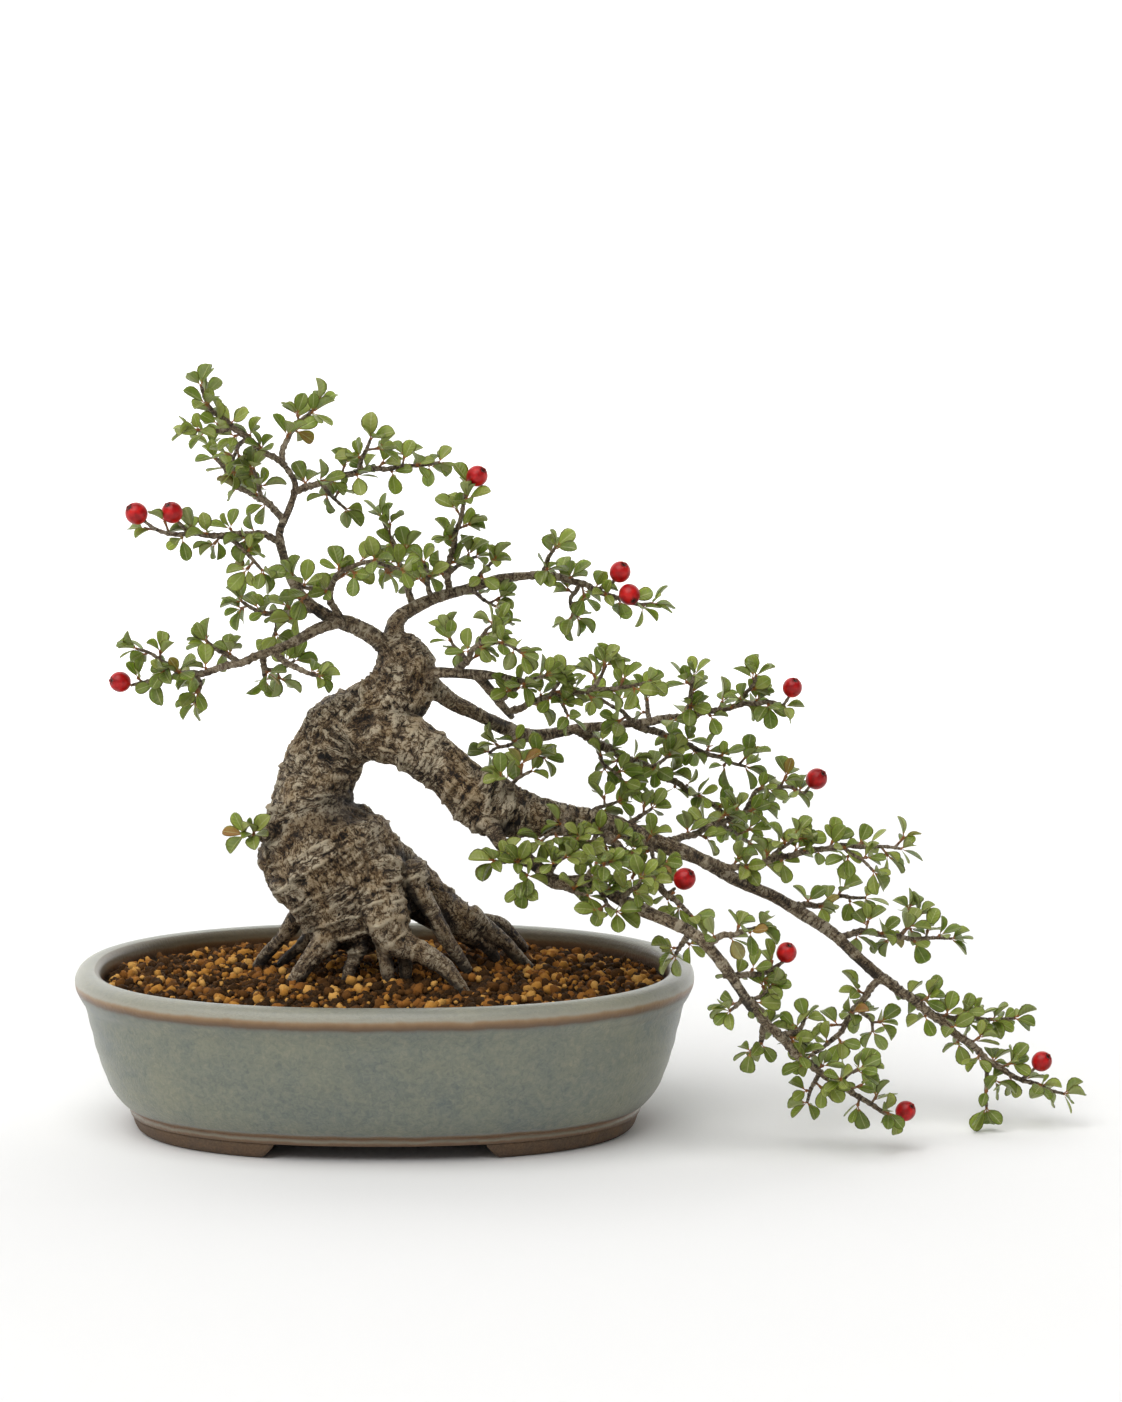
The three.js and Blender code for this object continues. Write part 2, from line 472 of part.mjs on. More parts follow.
// Drain screens: a square plastic mesh over each hole, held by a bent wire clip
const screenZ = floorTop + gap + screenThickness / 2;
const screenSide = 3 * screenPitch + screenBar;
const wireTop = screenZ + screenThickness / 2 + gap + wireRadius;
drains.forEach((x, n) => {
  let screen = box([x, 0, screenZ], [screenSide, screenSide, screenThickness]);
  [-1, 0, 1].forEach((i) => [-1, 0, 1].forEach((j) => {
    const opening = screenPitch - screenBar;
    screen = screen.subtract(box([x + i * screenPitch, j * screenPitch, screenZ], [opening, opening, 4]));
  }));
  const leg = screenPitch;
  const clip = [
    [x - leg - 6, 0, 4, wireRadius], [x - leg - 0.6, 0, 4.2, wireRadius], [x - leg, 0, 5.5, wireRadius],
    [x - leg, 0, wireTop - 1.4, wireRadius], [x - leg + 1.4, 0, wireTop, wireRadius],
    [x + leg - 1.4, 0, wireTop, wireRadius], [x + leg, 0, wireTop - 1.4, wireRadius],
    [x + leg, 0, 5.5, wireRadius], [x + leg + 0.6, 0, 4.2, wireRadius], [x + leg + 6, 0, 4, wireRadius],
  ];
  const side = n === 0 ? 'left' : 'right';
  addPiece(`drain_screen_${side}`, screen, colours.screen, 0.6);
  addPiece(`screen_clip_${side}`, solid(tube(clip, 6, 2.5)), colours.wire, 0.35, 1);
});

// Wood: each trunk or limb is the union of its stretches, and a limb ends where the piece it grows from begins
const woodSolids = {};
const woodFat = {};
Object.entries(wood).forEach(([name, paths]) => {
  const step = name === 'trunk' ? 9 : 12;
  const sidesOf = (path) => (path[0][3] > 7 ? 10 : 6);
  const grown = (extra) => join(paths.map((path) => solid(tube(path, sidesOf(path), step, extra))));
  let shape = grown(0);
  Object.values(woodFat).forEach((other) => {
    shape = shape.subtract(other);
  });
  woodSolids[name] = largest(shape.simplify(fineness));
  woodFat[name] = grown(gap);
});

// Soil: fills the pot to just under the rim, rises to the trunk, and is clear of screens and clips
const soilRings = [...potInner].reverse().filter(([z]) => z < soilEdge)
  .map(([z, half]) => ovalRing(half, z + (z === floorTop ? gap : 0), segments, gap + 0.2));
[[91.4, soilEdge], [72, soilEdge + 1.2], [52, soilCrown - 0.6], [34, soilCrown]].forEach(([half, z]) => {
  soilRings.push(ovalRing(half, z, segments, gap + 0.2));
});
let soil = solid(loft(soilRings)).subtract(woodFat.trunk);
drains.forEach((x) => {
  const high = wireTop + 2 * wireRadius + gap;
  soil = soil.subtract(box([x, 0, (high + 5) / 2], [screenSide + 1, screenSide + 1, high - 5]));
});
addPiece('soil', largest(soil), colours.soil, 0.95);

Object.entries(woodSolids).forEach(([name, shape]) => {
  addPiece(name, shape, colours.bark, 0.85);
});

// Berries hang clear of their stalks by the gap
berries.forEach((centre, i) => {
  addPiece(`berry_${i + 1}`, ball(centre, berryRadius), colours.berry, 0.25);
});
const berryFat = join(berries.map((centre) => ball(centre, berryRadius + 1.5 * gap)));

// Steady value from 0 to 1 for the nth leaf, so that no two leaves are quite alike
function vary(n, seed) {
  const v = Math.sin(n * 12.9898 + seed * 78.233) * 43758.5453;
  return v - Math.floor(v);
}

// One leaf: a thin egg-shaped blade, widest near its end, cupped along the midrib
const leafOutline = [[0, 0], [0.42, 0.25], [0.84, 0.26], [1, 0]];
function leaf(base, along, face, length, grow = 0) {
  const side = new THREE.Vector3().crossVectors(face, along).normalize();
  const normal = new THREE.Vector3().crossVectors(along, side);
  const at = (t, w, lift) => base.clone()
    .addScaledVector(along, t * length)
    .addScaledVector(side, w)
    .addScaledVector(normal, lift);
  const right = leafOutline.map(([t, w]) => at(t, w * length + grow, 0.2 * w * length));
  const left = leafOutline.map(([t, w]) => at(t, -w * length - grow, 0.2 * w * length));
  const outline = right.concat(left.slice(1, -1).reverse());
  const points = outline.concat([at(0.6, 0, leafHalf + grow), at(0.6, 0, -leafHalf - grow)]);
  const index = [];
  const count = outline.length;
  for (let i = 0; i < count; i += 1) {
    const next = (i + 1) % count;
    index.push(count, next, i, count + 1, i, next);
  }
  const geometry = new THREE.BufferGeometry();
  const numbers = points.flatMap((p) => [p.x, p.y, p.z]);
  geometry.setAttribute('position', new THREE.Float32BufferAttribute(numbers, 3));
  geometry.setIndex(index);
  return solid(geometry);
}

function boxesMeet(a, b) {
  return [0, 1, 2].every((i) => a.min[i] <= b.max[i] && b.min[i] <= a.max[i]);
}

function clear(shape, others) {
  const bounds = shape.boundingBox();
  return !others.some((other) => boxesMeet(bounds, other.bounds)
    && shape.intersect(other.shape).volume() > 0);
}

const obstacle = (owner, shape) => ({ owner, shape, bounds: shape.boundingBox() });
const obstacles = Object.entries(woodSolids).map(([name, shape]) => obstacle(name, shape));
obstacles.push(obstacle('pot', pot), obstacle('soil', soil));
berries.forEach((centre) => obstacles.push(obstacle('berry', ball(centre, berryRadius + gap))));

// Twigs first, trimmed where they leave their limb, then the leaves between them
const stems = {};
let taken = join(Object.values(woodFat)).add(berryFat);
Object.entries(sprays).forEach(([name, twigs]) => {
  const grown = (extra) => join(twigs.map((twig) => solid(tube(twig.path, 4, 14, extra))));
  stems[name] = largest(grown(0).subtract(taken));
  taken = taken.add(grown(gap));
  obstacles.push(obstacle(name, stems[name]));
});

let leafNumber = 0;
Object.entries(sprays).forEach(([name, twigs]) => {
  const parts = [stems[name]];
  twigs.filter((twig) => twig.leafyFrom < 1).forEach((twig) => {
    const curve = smoothCurve(twig.path);
    const reach = curve.getLength();
    const places = [];
    for (let s = twig.leafyFrom * reach; s < reach - 1; s += leafSpacing) {
      places.push(s / reach);
    }
    places.push(0.97, 0.99);
    places.forEach((t) => {
      const base = curve.getPointAt(t);
      const tangent = curve.getTangentAt(t);
      const lean = t > 0.96 ? 0.9 : 0.5;
      for (let attempt = 0; attempt < 7; attempt += 1) {
        leafNumber += 1;
        const turn = goldenAngle * leafNumber;
        const across = new THREE.Vector3(0.2, 0.9, 0.4).cross(tangent).normalize();
        across.applyAxisAngle(tangent, turn);
        const along = tangent.clone().multiplyScalar(lean).addScaledVector(across, 0.85).normalize();
        const lift = 0.35 + 0.8 * vary(leafNumber, 2);
        const face = new THREE.Vector3(0.9 * (vary(leafNumber, 1) - 0.5), -0.8, lift);
        const length = leafLength * (0.8 + 0.35 * vary(leafNumber, 3));
        const roomy = leaf(base, along, face, length, gap);
        const rest = obstacles.filter((other) => other.owner !== name);
        if (clear(roomy, rest)) {
          const blade = leaf(base, along, face, length);
          parts.push(blade);
          obstacles.push(obstacle(`${name} leaf`, blade));
          break;
        }
      }
    });
  });
  addPiece(name, largest(join(parts).simplify(fineness)), colours.leaf, 0.6);
});

// Put the origin under the middle of the whole object
const bounds = new THREE.Box3().setFromObject(tree);
const middle = bounds.getCenter(new THREE.Vector3());
tree.position.set(-middle.x, -middle.y, 0);
const bonsai = new THREE.Group();
bonsai.add(tree);

export default bonsai;
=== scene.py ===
import math

import bpy
import numpy as np
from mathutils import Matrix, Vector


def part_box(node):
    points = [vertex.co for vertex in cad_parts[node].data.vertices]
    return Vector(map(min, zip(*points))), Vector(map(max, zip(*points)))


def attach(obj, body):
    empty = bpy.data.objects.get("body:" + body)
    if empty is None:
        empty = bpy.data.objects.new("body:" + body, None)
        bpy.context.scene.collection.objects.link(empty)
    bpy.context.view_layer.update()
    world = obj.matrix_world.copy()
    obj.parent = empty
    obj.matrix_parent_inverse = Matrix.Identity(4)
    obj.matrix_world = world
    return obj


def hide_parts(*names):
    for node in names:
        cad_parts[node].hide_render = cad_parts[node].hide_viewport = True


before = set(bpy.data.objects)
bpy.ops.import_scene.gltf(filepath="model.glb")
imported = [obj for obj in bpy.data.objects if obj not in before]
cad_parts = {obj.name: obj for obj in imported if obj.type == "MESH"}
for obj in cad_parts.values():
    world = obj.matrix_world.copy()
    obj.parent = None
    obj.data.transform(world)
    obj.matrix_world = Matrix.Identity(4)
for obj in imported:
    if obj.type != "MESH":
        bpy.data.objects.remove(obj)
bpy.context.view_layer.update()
random = np.random.default_rng(11)

potLow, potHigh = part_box("pot")
potMiddle = 500 * (np.array(potLow) + np.array(potHigh)) * (1, 1, 0)  # mm, where the pot stands in the frame
bare = 2  # a twig that is leafy from here on has no leaves

# Stretches of wood: x, y, z, radius
woodPaths = {
    "trunk": [
        [(-7, 0, 64, 17), (-9, 0, 71, 19), (-13, 0, 80, 20.5), (-19, 0, 89, 21.5), (-22, 1, 96, 17.5),
         (-23, 2, 104, 13), (-21, 4, 112, 12), (-18, 4, 119, 12), (-14, 4, 127, 11.5),
         (-7, 3, 133, 10), (0, 2, 137, 10.5), (5, 2, 142, 10.5), (6, 2, 148, 10), (5, 3, 153, 8),
         (3, 3, 157, 5)],
        [(-15, 4, 97, 11), (-9, 5, 90, 11), (0, 6, 82, 10), (12, 8, 73, 8.4), (21, 10, 66, 6.5),
         (27, 12, 61, 4.4), (32, 14, 56, 2.8), (36, 17, 50, 1.6)],
        [(-10, 14, 87, 10), (3, 18, 76, 8), (14, 22, 67, 6), (22, 27, 60, 4), (29, 33, 52, 2.2)],
        [(-24, -2, 87, 9), (-32, -3, 88, 7.6), (-36, -4, 88, 6), (-38, -4, 89, 4.5)],
        [(-27, -4, 94, 5), (-31, -7, 96, 3.8), (-36, -9, 96, 3.2)],
        [(-22, 0, 78, 7), (-25, 2, 72, 5), (-29, 5, 66, 3.4), (-33, 8, 60, 2.5), (-39, 11, 53, 2.1),
         (-43, 14, 47, 1.6)],
        [(-14, -6, 77, 7), (-15, -10, 70, 5), (-18, -13, 63, 4.2), (-23, -15, 57, 3.2),
         (-27, -17, 52, 2.6), (-31, -19, 47, 1.9)],
        [(-21, 6, 67, 4), (-25, 9, 59, 2.5), (-31, 12, 53, 2), (-35, 14, 49, 1.6)],
        [(-8, -10, 70, 4.5), (-8, -13, 61, 2.4), (-11, -14, 53, 2.1), (-12, -14, 47, 1.8)],
        [(0, -14, 69, 4.5), (0, -17, 61, 2.4), (1, -18, 55, 2.1), (2, -18, 48, 1.8)],
        [(-4, -8, 85, 10), (-2, -12, 77, 8.6), (1, -16, 69, 7.4), (5, -19, 63, 5), (12, -21, 60, 3.5),
         (19, -23, 56, 3), (23, -25, 52, 2.4), (27, -27, 47, 1.9)],
        [(8, -6, 84, 6), (12, -7, 76, 3.2), (16, -6, 69, 2.8), (20, -5, 61, 2.5), (24, -4, 55, 2.1),
         (27, -3, 50, 1.7)],
        [(27, 10, 66, 4), (32, 12, 62, 2.9), (38, 14, 57, 2.5), (43, 16, 51, 2.1), (47, 17, 47, 1.7)],
        [(27, 20, 61, 4), (32, 22, 62, 3.2), (37, 25, 60, 2.8), (41, 28, 56, 2.4), (45, 31, 51, 1.8)],
        [(-15, 12, 71, 7), (-22, 26, 60, 4.2), (-29, 38, 50, 2.2)],
        [(-4, 14, 69, 7), (1, 30, 59, 4.2), (5, 46, 49, 2.2)],
        [(5, -12, 65, 4), (7, -14, 58, 2.4), (7, -15, 50, 1.8)],
    ],
    "cascade_limb": [
        [(-9, 1, 126, 8.2), (-1, -4, 128, 9.2), (8, -6, 125, 8.6), (16, -7, 120, 8.2),
         (24, -8, 113, 8.4), (33, -8, 106, 9), (41, -7, 103, 8.4), (50, -6, 101, 6.4),
         (58, -4, 100, 5), (67, -3, 99, 4.1), (76, -2, 97, 3.4), (87, 0, 92, 2.9), (102, 3, 86, 2.5),
         (115, 6, 78, 2.2), (128, 6, 72, 2.1), (144, 4, 62, 1.95), (153, 2, 54, 1.85),
         (161, 0, 47, 1.75)],
    ],
    "lower_limb": [
        [(32, -12, 104, 3), (35, -17, 99, 2.7), (40, -22, 93, 2.4), (48, -28, 90, 2.2),
         (55, -34, 85, 2.4), (66, -40, 86, 2), (76, -44, 81, 2), (86, -48, 77, 1.95),
         (98, -52, 72, 1.9), (107, -54, 63, 1.85), (117, -54, 48, 1.6)],
    ],
    "right_limb": [
        [(13, 4, 143, 4.2), (18, 6, 140, 3.4), (23, 8, 136, 2.8), (32, 12, 131, 2.5),
         (39, 15, 127, 2.3), (48, 18, 124, 2.1), (62, 20, 126, 1.8), (75, 22, 127, 1.5),
         (88, 24, 128, 1.35)],
    ],
    "front_limb": [
        [(13, -2, 146, 2.8), (18, -6, 148, 2), (31, -11, 148, 1.6), (37, -14, 148, 1.25),
         (43, -16, 147, 1)],
        [(30, -10, 148, 1.8), (34, -8, 143, 1.7), (38, -3, 137, 1.5), (41, 6, 132, 1.2)],
    ],
    "upper_limb": [
        [(3, 4, 157, 3.4), (4, 8, 163, 2.6), (8, 11, 166, 2.3), (17, 14, 170, 2), (26, 18, 172, 1.75),
         (37, 21, 175, 1.55), (48, 23, 176, 1.4)],
    ],
    "apex_limb": [
        [(1, 2, 155, 3.4), (-4, 1, 159, 2.9), (-9, 0, 162, 2.6), (-15, 0, 164, 2.3),
         (-20, -1, 167, 2.1), (-25, -2, 171, 1.9), (-29, -3, 177, 1.7), (-32, -3, 186, 1.55),
         (-33, -3, 193, 1.45), (-30, -1, 200, 1.3), (-28, 0, 208, 1.2), (-32, -1, 215, 1)],
    ],
    "left_limb": [
        [(-14, -2, 164, 2), (-21, -6, 162, 1.8), (-27, -9, 159, 1.6), (-34, -12, 156, 1.4)],
    ],
}

# Twigs with leaves: the share of the twig that is bare, then x, y, z, radius
sprayTwigs = {
    "spray_apex_left": [
        (0.25, [(-31, -1, 214, 1), (-39, -5, 220, 0.95), (-47, -8, 227, 0.9), (-54, -10, 233, 0.7),
             (-57, -11, 240, 0.45)]),
        (0.3, [(-47, -8, 227, 0.8), (-54, -13, 226, 0.6), (-60, -17, 227, 0.4)]),
        (0.4, [(-43, -6, 223, 0.8), (-47, 0, 219, 0.6), (-48, 5, 212, 0.4)]),
    ],
    "spray_apex_top": [
        (0.3, [(-32, -1, 215, 1), (-31, 3, 222, 0.85), (-27, 7, 227, 0.7), (-21, 10, 233, 0.4)]),
    ],
    "spray_apex_right": [
        (0.1, [(-29, 0, 205, 1.2), (-20, 5, 208, 1), (-8, 11, 211, 0.9), (7, 17, 212, 0.7),
             (17, 20, 213, 0.4)]),
        (0.35, [(-8, 11, 211, 0.8), (-6, 6, 218, 0.6), (-4, 3, 222, 0.4)]),
        (0.35, [(-20, 5, 208, 0.8), (-17, 10, 203, 0.6), (-13, 14, 199, 0.4)]),
    ],
    "spray_crown_left": [
        (0.2, [(-32, -2, 197, 1.15), (-39, 4, 203, 1), (-47, 10, 206, 0.9), (-52, 14, 212, 0.7),
             (-56, 17, 218, 0.4)]),
        (0.35, [(-39, 4, 203, 0.8), (-40, 0, 208, 0.6), (-41, -3, 213, 0.4)]),
    ],
    "spray_left_high": [
        (0.2, [(-32, -3, 189, 1.2), (-39, -8, 193, 1), (-48, -13, 193, 1), (-61, -18, 194, 0.8),
             (-70, -21, 195, 0.6), (-75, -23, 199, 0.4)]),
        (0.2, [(-48, -13, 192, 0.8), (-42, -18, 187, 0.6), (-38, -20, 183, 0.4)]),
        (bare, [(-61, -18, 194, 0.7), (-64, -20, 198, 0.45), (-65, -20, 199, 0.35)]),
    ],
    "spray_middle": [
        (0.2, [(-14, 0, 165, 1.2), (-17, -8, 174, 1), (-12, -14, 182, 0.8), (-3, -18, 185, 0.6),
             (6, -20, 183, 0.4)]),
        (0.35, [(-17, -8, 174, 0.8), (-24, -12, 176, 0.6), (-28, -16, 180, 0.4)]),
    ],
    "spray_left_mid": [
        (0.25, [(-21, -1, 168, 1.2), (-29, 7, 166, 1), (-39, 12, 165, 0.8), (-46, 16, 168, 0.4)]),
        (0.3, [(-37, 11, 165, 0.8), (-35, 15, 160, 0.6), (-37, 18, 155, 0.4)]),
    ],
    "spray_left_low": [
        (0.5, [(-32, -12, 157, 1.35), (-44, -15, 153, 1.2), (-55, -17, 150, 1.05), (-64, -19, 149, 0.9),
             (-73, -20, 147, 0.7), (-79, -20, 146, 0.4)]),
        (0.25, [(-64, -19, 149, 0.8), (-69, -22, 154, 0.6), (-77, -24, 158, 0.4)]),
        (0.4, [(-59, -18, 149, 0.7), (-58, -12, 144, 0.5), (-60, -8, 139, 0.4)]),
        (0.3, [(-45, -15, 152, 1.1), (-51, -10, 155, 0.8), (-56, -6, 158, 0.4)]),
        (0.75, [(-34, -13, 155, 1.1), (-27, -18, 151, 0.9), (-20, -22, 149, 0.5)]),
        (0.5, [(-38, -13, 154, 1.1), (-38, -9, 149, 0.8), (-38, -6, 146, 0.5)]),
        (0.4, [(-38, -10, 150, 0.7), (-32, -5, 149, 0.5), (-29, -2, 151, 0.4)]),
    ],
    "spray_upper_tip": [
        (0.2, [(47, 23, 176, 1.4), (59, 21, 175, 1.1), (70, 18, 171, 0.85), (80, 15, 168, 0.7),
             (86, 13, 168, 0.4)]),
        (bare, [(69, 18, 172, 0.7), (73, 16, 174, 0.45), (75, 15, 176, 0.35)]),
        (0.35, [(63, 20, 174, 0.8), (60, 26, 167, 0.6), (62, 30, 162, 0.4)]),
        (0.35, [(50, 23, 175, 1), (53, 17, 182, 0.7), (55, 14, 186, 0.4)]),
    ],
    "spray_upper_post": [
        (0.15, [(21, 16, 171, 1.2), (20, 14, 176, 1), (22, 11, 186, 0.9), (25, 8, 198, 0.7),
             (27, 6, 207, 0.4)]),
        (0.35, [(21, 13, 178, 0.8), (25, 18, 181, 0.6), (29, 22, 182, 0.4)]),
        (0.35, [(30, 18, 174, 0.8), (32, 13, 179, 0.6), (35, 10, 182, 0.4)]),
        (0.5, [(27, 17, 172, 0.8), (31, 22, 169, 0.6), (35, 24, 166, 0.4)]),
    ],
    "spray_upper_left": [
        (0.3, [(10, 12, 166, 1.2), (6, 18, 176, 1), (3, 22, 185, 0.8), (-1, 25, 194, 0.4)]),
        (0.4, [(5, 19, 179, 0.8), (1, 25, 177, 0.5), (-1, 28, 180, 0.4)]),
        (0.35, [(15, 13, 170, 0.9), (14, 8, 176, 0.7), (13, 5, 182, 0.4)]),
    ],
    "spray_front_up": [
        (0.25, [(23, -8, 148, 1.2), (27, -14, 153, 1), (30, -18, 158, 0.8), (37, -21, 160, 0.6),
             (44, -24, 157, 0.4)]),
        (0.35, [(27, -14, 153, 0.8), (23, -10, 157, 0.5), (21, -8, 161, 0.4)]),
        (0.4, [(31, -18, 158, 0.7), (33, -14, 163, 0.5), (37, -12, 165, 0.4)]),
    ],
    "spray_front_tip": [
        (0.2, [(41, -1, 135, 1.2), (47, -6, 138, 1), (53, -10, 141, 0.9), (61, -14, 143, 0.8),
             (67, -16, 144, 0.7), (69, -16, 147, 0.6), (71, -15, 151, 0.4)]),
        (0.3, [(66, -16, 144, 0.7), (75, -19, 145, 0.6), (82, -22, 146, 0.5), (84, -22, 147, 0.4)]),
        (0.5, [(56, -11, 141, 0.7), (58, -15, 138, 0.5), (59, -17, 136, 0.4)]),
        (0.5, [(52, -9, 140, 0.7), (55, -14, 144, 0.5), (57, -15, 147, 0.4)]),
    ],
    "spray_front_down": [
        (0.3, [(42, -15, 147, 1), (48, -18, 147, 0.8), (52, -20, 149, 0.4)]),
        (0.4, [(37, -5, 139, 0.8), (41, -12, 142, 0.6), (43, -14, 144, 0.4)]),
    ],
    "spray_right_near": [
        (0.35, [(41, 15, 126, 1.2), (42, 7, 123, 0.9), (45, 1, 120, 0.7), (51, -3, 120, 0.4)]),
        (0.5, [(42, 8, 123, 0.7), (37, 12, 121, 0.5), (34, 16, 119, 0.4)]),
    ],
    "spray_right_low": [
        (0.15, [(62, 20, 126, 1.7), (70, 24, 120, 1.5), (79, 27, 115, 1.3), (90, 31, 109, 1.1),
             (103, 34, 101, 0.8), (114, 36, 94, 0.4)]),
        (0.3, [(68, 23, 121, 0.8), (71, 17, 115, 0.6), (77, 13, 110, 0.4)]),
        (0.4, [(84, 29, 112, 0.8), (89, 24, 114, 0.6), (92, 21, 117, 0.4)]),
    ],
    "spray_right_mid": [
        (0.25, [(81, 23, 127, 1.3), (90, 28, 123, 1.1), (102, 33, 117, 0.9), (117, 38, 111, 0.4)]),
        (0.45, [(83, 24, 126, 0.8), (77, 15, 132, 0.7), (70, 11, 137, 0.4)]),
    ],
    "spray_right_tip": [
        (0.1, [(87, 24, 128, 1.35), (100, 24, 130, 1.1), (113, 22, 133, 0.9), (123, 19, 135, 0.75),
             (129, 17, 134, 0.45)]),
        (0.3, [(113, 22, 133, 0.8), (118, 17, 139, 0.6), (120, 14, 144, 0.4)]),
        (bare, [(129, 17, 134, 0.55), (131, 17, 137, 0.4)]),
        (0.25, [(98, 24, 130, 0.9), (99, 19, 137, 0.7), (100, 15, 144, 0.4)]),
        (0.3, [(86, 24, 128, 0.9), (85, 29, 132, 0.7), (84, 32, 137, 0.4)]),
    ],
    "spray_saddle": [
        (0.7, [(39, -10, 107, 1.4), (41, -16, 113, 0.9), (38, -19, 116, 0.5)]),
        (0.6, [(40, -15, 112, 0.8), (43, -14, 115, 0.6), (47, -13, 117, 0.4)]),
        (0.35, [(66, -2, 101, 0.9), (70, 4, 103, 0.6), (75, 7, 104, 0.4)]),
        (0.3, [(78, -2, 98, 1), (82, 2, 100, 0.7), (86, 5, 102, 0.4)]),
    ],
    "spray_fork": [
        (0.4, [(59, -8, 103, 1.3), (58, -18, 100, 1.1), (59, -22, 96, 0.8), (63, -25, 93, 0.4)]),
        (0.5, [(58, -17, 100, 0.8), (54, -23, 99, 0.5), (51, -26, 97, 0.4)]),
        (0.3, [(69, -4, 98, 1), (71, -14, 95, 0.7), (76, -20, 93, 0.4)]),
        (0.3, [(82, -2, 94, 1), (86, -12, 91, 0.7), (87, -18, 87, 0.4)]),
        (0.4, [(69, -7, 97, 0.8), (66, -15, 94, 0.6), (63, -20, 97, 0.4)]),
    ],
    "spray_cascade_back": [
        (0.25, [(90, 0, 92, 1.25), (99, 8, 93, 1.05), (109, 16, 96, 0.9), (122, 24, 100, 0.4)]),
        (0.4, [(109, 16, 96, 0.7), (114, 22, 91, 0.5), (118, 26, 88, 0.4)]),
        (0.3, [(117, 23, 98, 0.8), (121, 29, 104, 0.7), (130, 33, 105, 0.6), (137, 36, 102, 0.5),
             (139, 36, 105, 0.4)]),
    ],
    "spray_cascade_high": [
        (0.15, [(103, 3, 86, 1.25), (115, -3, 84, 1.05), (129, -9, 89, 1), (147, -14, 93, 0.8),
             (165, -18, 93, 0.4)]),
        (0.3, [(123, -7, 87, 0.7), (130, -12, 94, 0.5), (132, -15, 97, 0.4)]),
        (0.3, [(147, -14, 93, 0.7), (152, -20, 90, 0.5), (156, -23, 87, 0.4)]),
    ],
    "spray_cascade_mid": [
        (0.25, [(130, 6, 71, 1.1), (140, 12, 69, 0.9), (148, 17, 71, 0.7), (156, 21, 70, 0.4)]),
    ],
    "spray_cascade_right": [
        (0.15, [(147, 4, 60, 1.15), (155, 9, 61, 0.9), (169, 14, 58, 0.8), (184, 18, 57, 0.4)]),
        (0.4, [(167, 14, 58, 0.7), (172, 19, 62, 0.5), (174, 22, 64, 0.4)]),
    ],
    "spray_cascade_under": [
        (0.2, [(160, 0, 47, 1.25), (152, -7, 39, 1), (145, -12, 30, 0.8), (137, -16, 25, 0.4)]),
        (0.4, [(152, -6, 39, 0.7), (157, -2, 34, 0.5), (158, 1, 30, 0.4)]),
    ],
    "spray_cascade_tip": [
        (0.15, [(160, 0, 48, 1.75), (172, -4, 40, 1.45), (188, -8, 28, 1.15), (201, -9, 18, 0.85),
             (219, -8, 11, 0.4)]),
        (0.25, [(178, -5, 36, 0.9), (188, 0, 34, 0.7), (204, 5, 33, 0.4)]),
        (0.3, [(194, -9, 21, 0.8), (194, -12, 15, 0.6), (194, -14, 8, 0.4)]),
        (bare, [(206, -9, 16, 0.7), (208, -10, 18, 0.45), (210, -10, 20, 0.35)]),
    ],
    "spray_under": [
        (0.3, [(68, -5, 99, 1.5), (80, -20, 89, 1.35), (89, -30, 82, 1.1), (98, -38, 75, 0.5)]),
        (bare, [(91, -32, 81, 0.7), (93, -34, 83, 0.4)]),
    ],
    "spray_lower_upper": [
        (0.5, [(42, -24, 92, 1.4), (39, -31, 91, 0.8), (36, -36, 92, 0.4)]),
        (0.5, [(40, -27, 92, 0.8), (44, -34, 89, 0.5), (46, -38, 88, 0.4)]),
        (0.3, [(53, -32, 86, 1), (55, -38, 91, 0.7), (58, -41, 94, 0.4)]),
        (0.3, [(64, -40, 86, 1), (67, -46, 91, 0.7), (72, -50, 94, 0.4)]),
        (0.3, [(75, -44, 82, 1), (80, -52, 86, 0.7), (82, -56, 90, 0.4)]),
        (0.3, [(69, -41, 84, 0.9), (71, -48, 81, 0.6), (74, -52, 79, 0.4)]),
        (0.3, [(57, -34, 84, 0.9), (61, -42, 83, 0.6), (65, -46, 83, 0.4)]),
    ],
    "spray_lower_inner": [
        (0.25, [(102, -53, 68, 1.3), (107, -58, 72, 1), (113, -62, 74, 0.7), (118, -64, 76, 0.4)]),
    ],
    "spray_lower_mid": [
        (0.2, [(108, -54, 59, 1.1), (117, -49, 58, 0.9), (126, -44, 60, 0.6), (127, -43, 61, 0.4)]),
        (0.35, [(114, -54, 52, 0.9), (119, -50, 51, 0.6), (123, -48, 54, 0.4)]),
        (0.4, [(114, -54, 52, 0.8), (112, -58, 50, 0.6), (110, -60, 49, 0.4)]),
    ],
    "spray_lower_tip": [
        (0.3, [(116, -54, 50, 1.6), (129, -50, 35, 1.25), (138, -48, 27, 1.05), (147, -46, 21, 0.9),
             (157, -44, 14, 0.7), (164, -43, 11, 0.4)]),
        (0.35, [(139, -48, 27, 0.8), (136, -44, 21, 0.6), (135, -42, 16, 0.4)]),
        (0.4, [(143, -47, 23, 0.7), (148, -52, 27, 0.5), (150, -55, 29, 0.4)]),
        (0.3, [(121, -53, 44, 1.2), (120, -48, 37, 0.8), (117, -45, 33, 0.4)]),
        (0.3, [(125, -51, 39, 1.2), (131, -45, 39, 0.9), (134, -41, 42, 0.4)]),
    ],
    "spray_lower_left": [
        (0.4, [(97, -52, 72, 1.2), (95, -46, 67, 0.8), (93, -42, 63, 0.4)]),
    ],
    "spray_base": [
        (0.7, [(-37, -5, 93, 1), (-41, -8, 95, 0.8), (-44, -10, 96, 0.4)]),
    ],
}

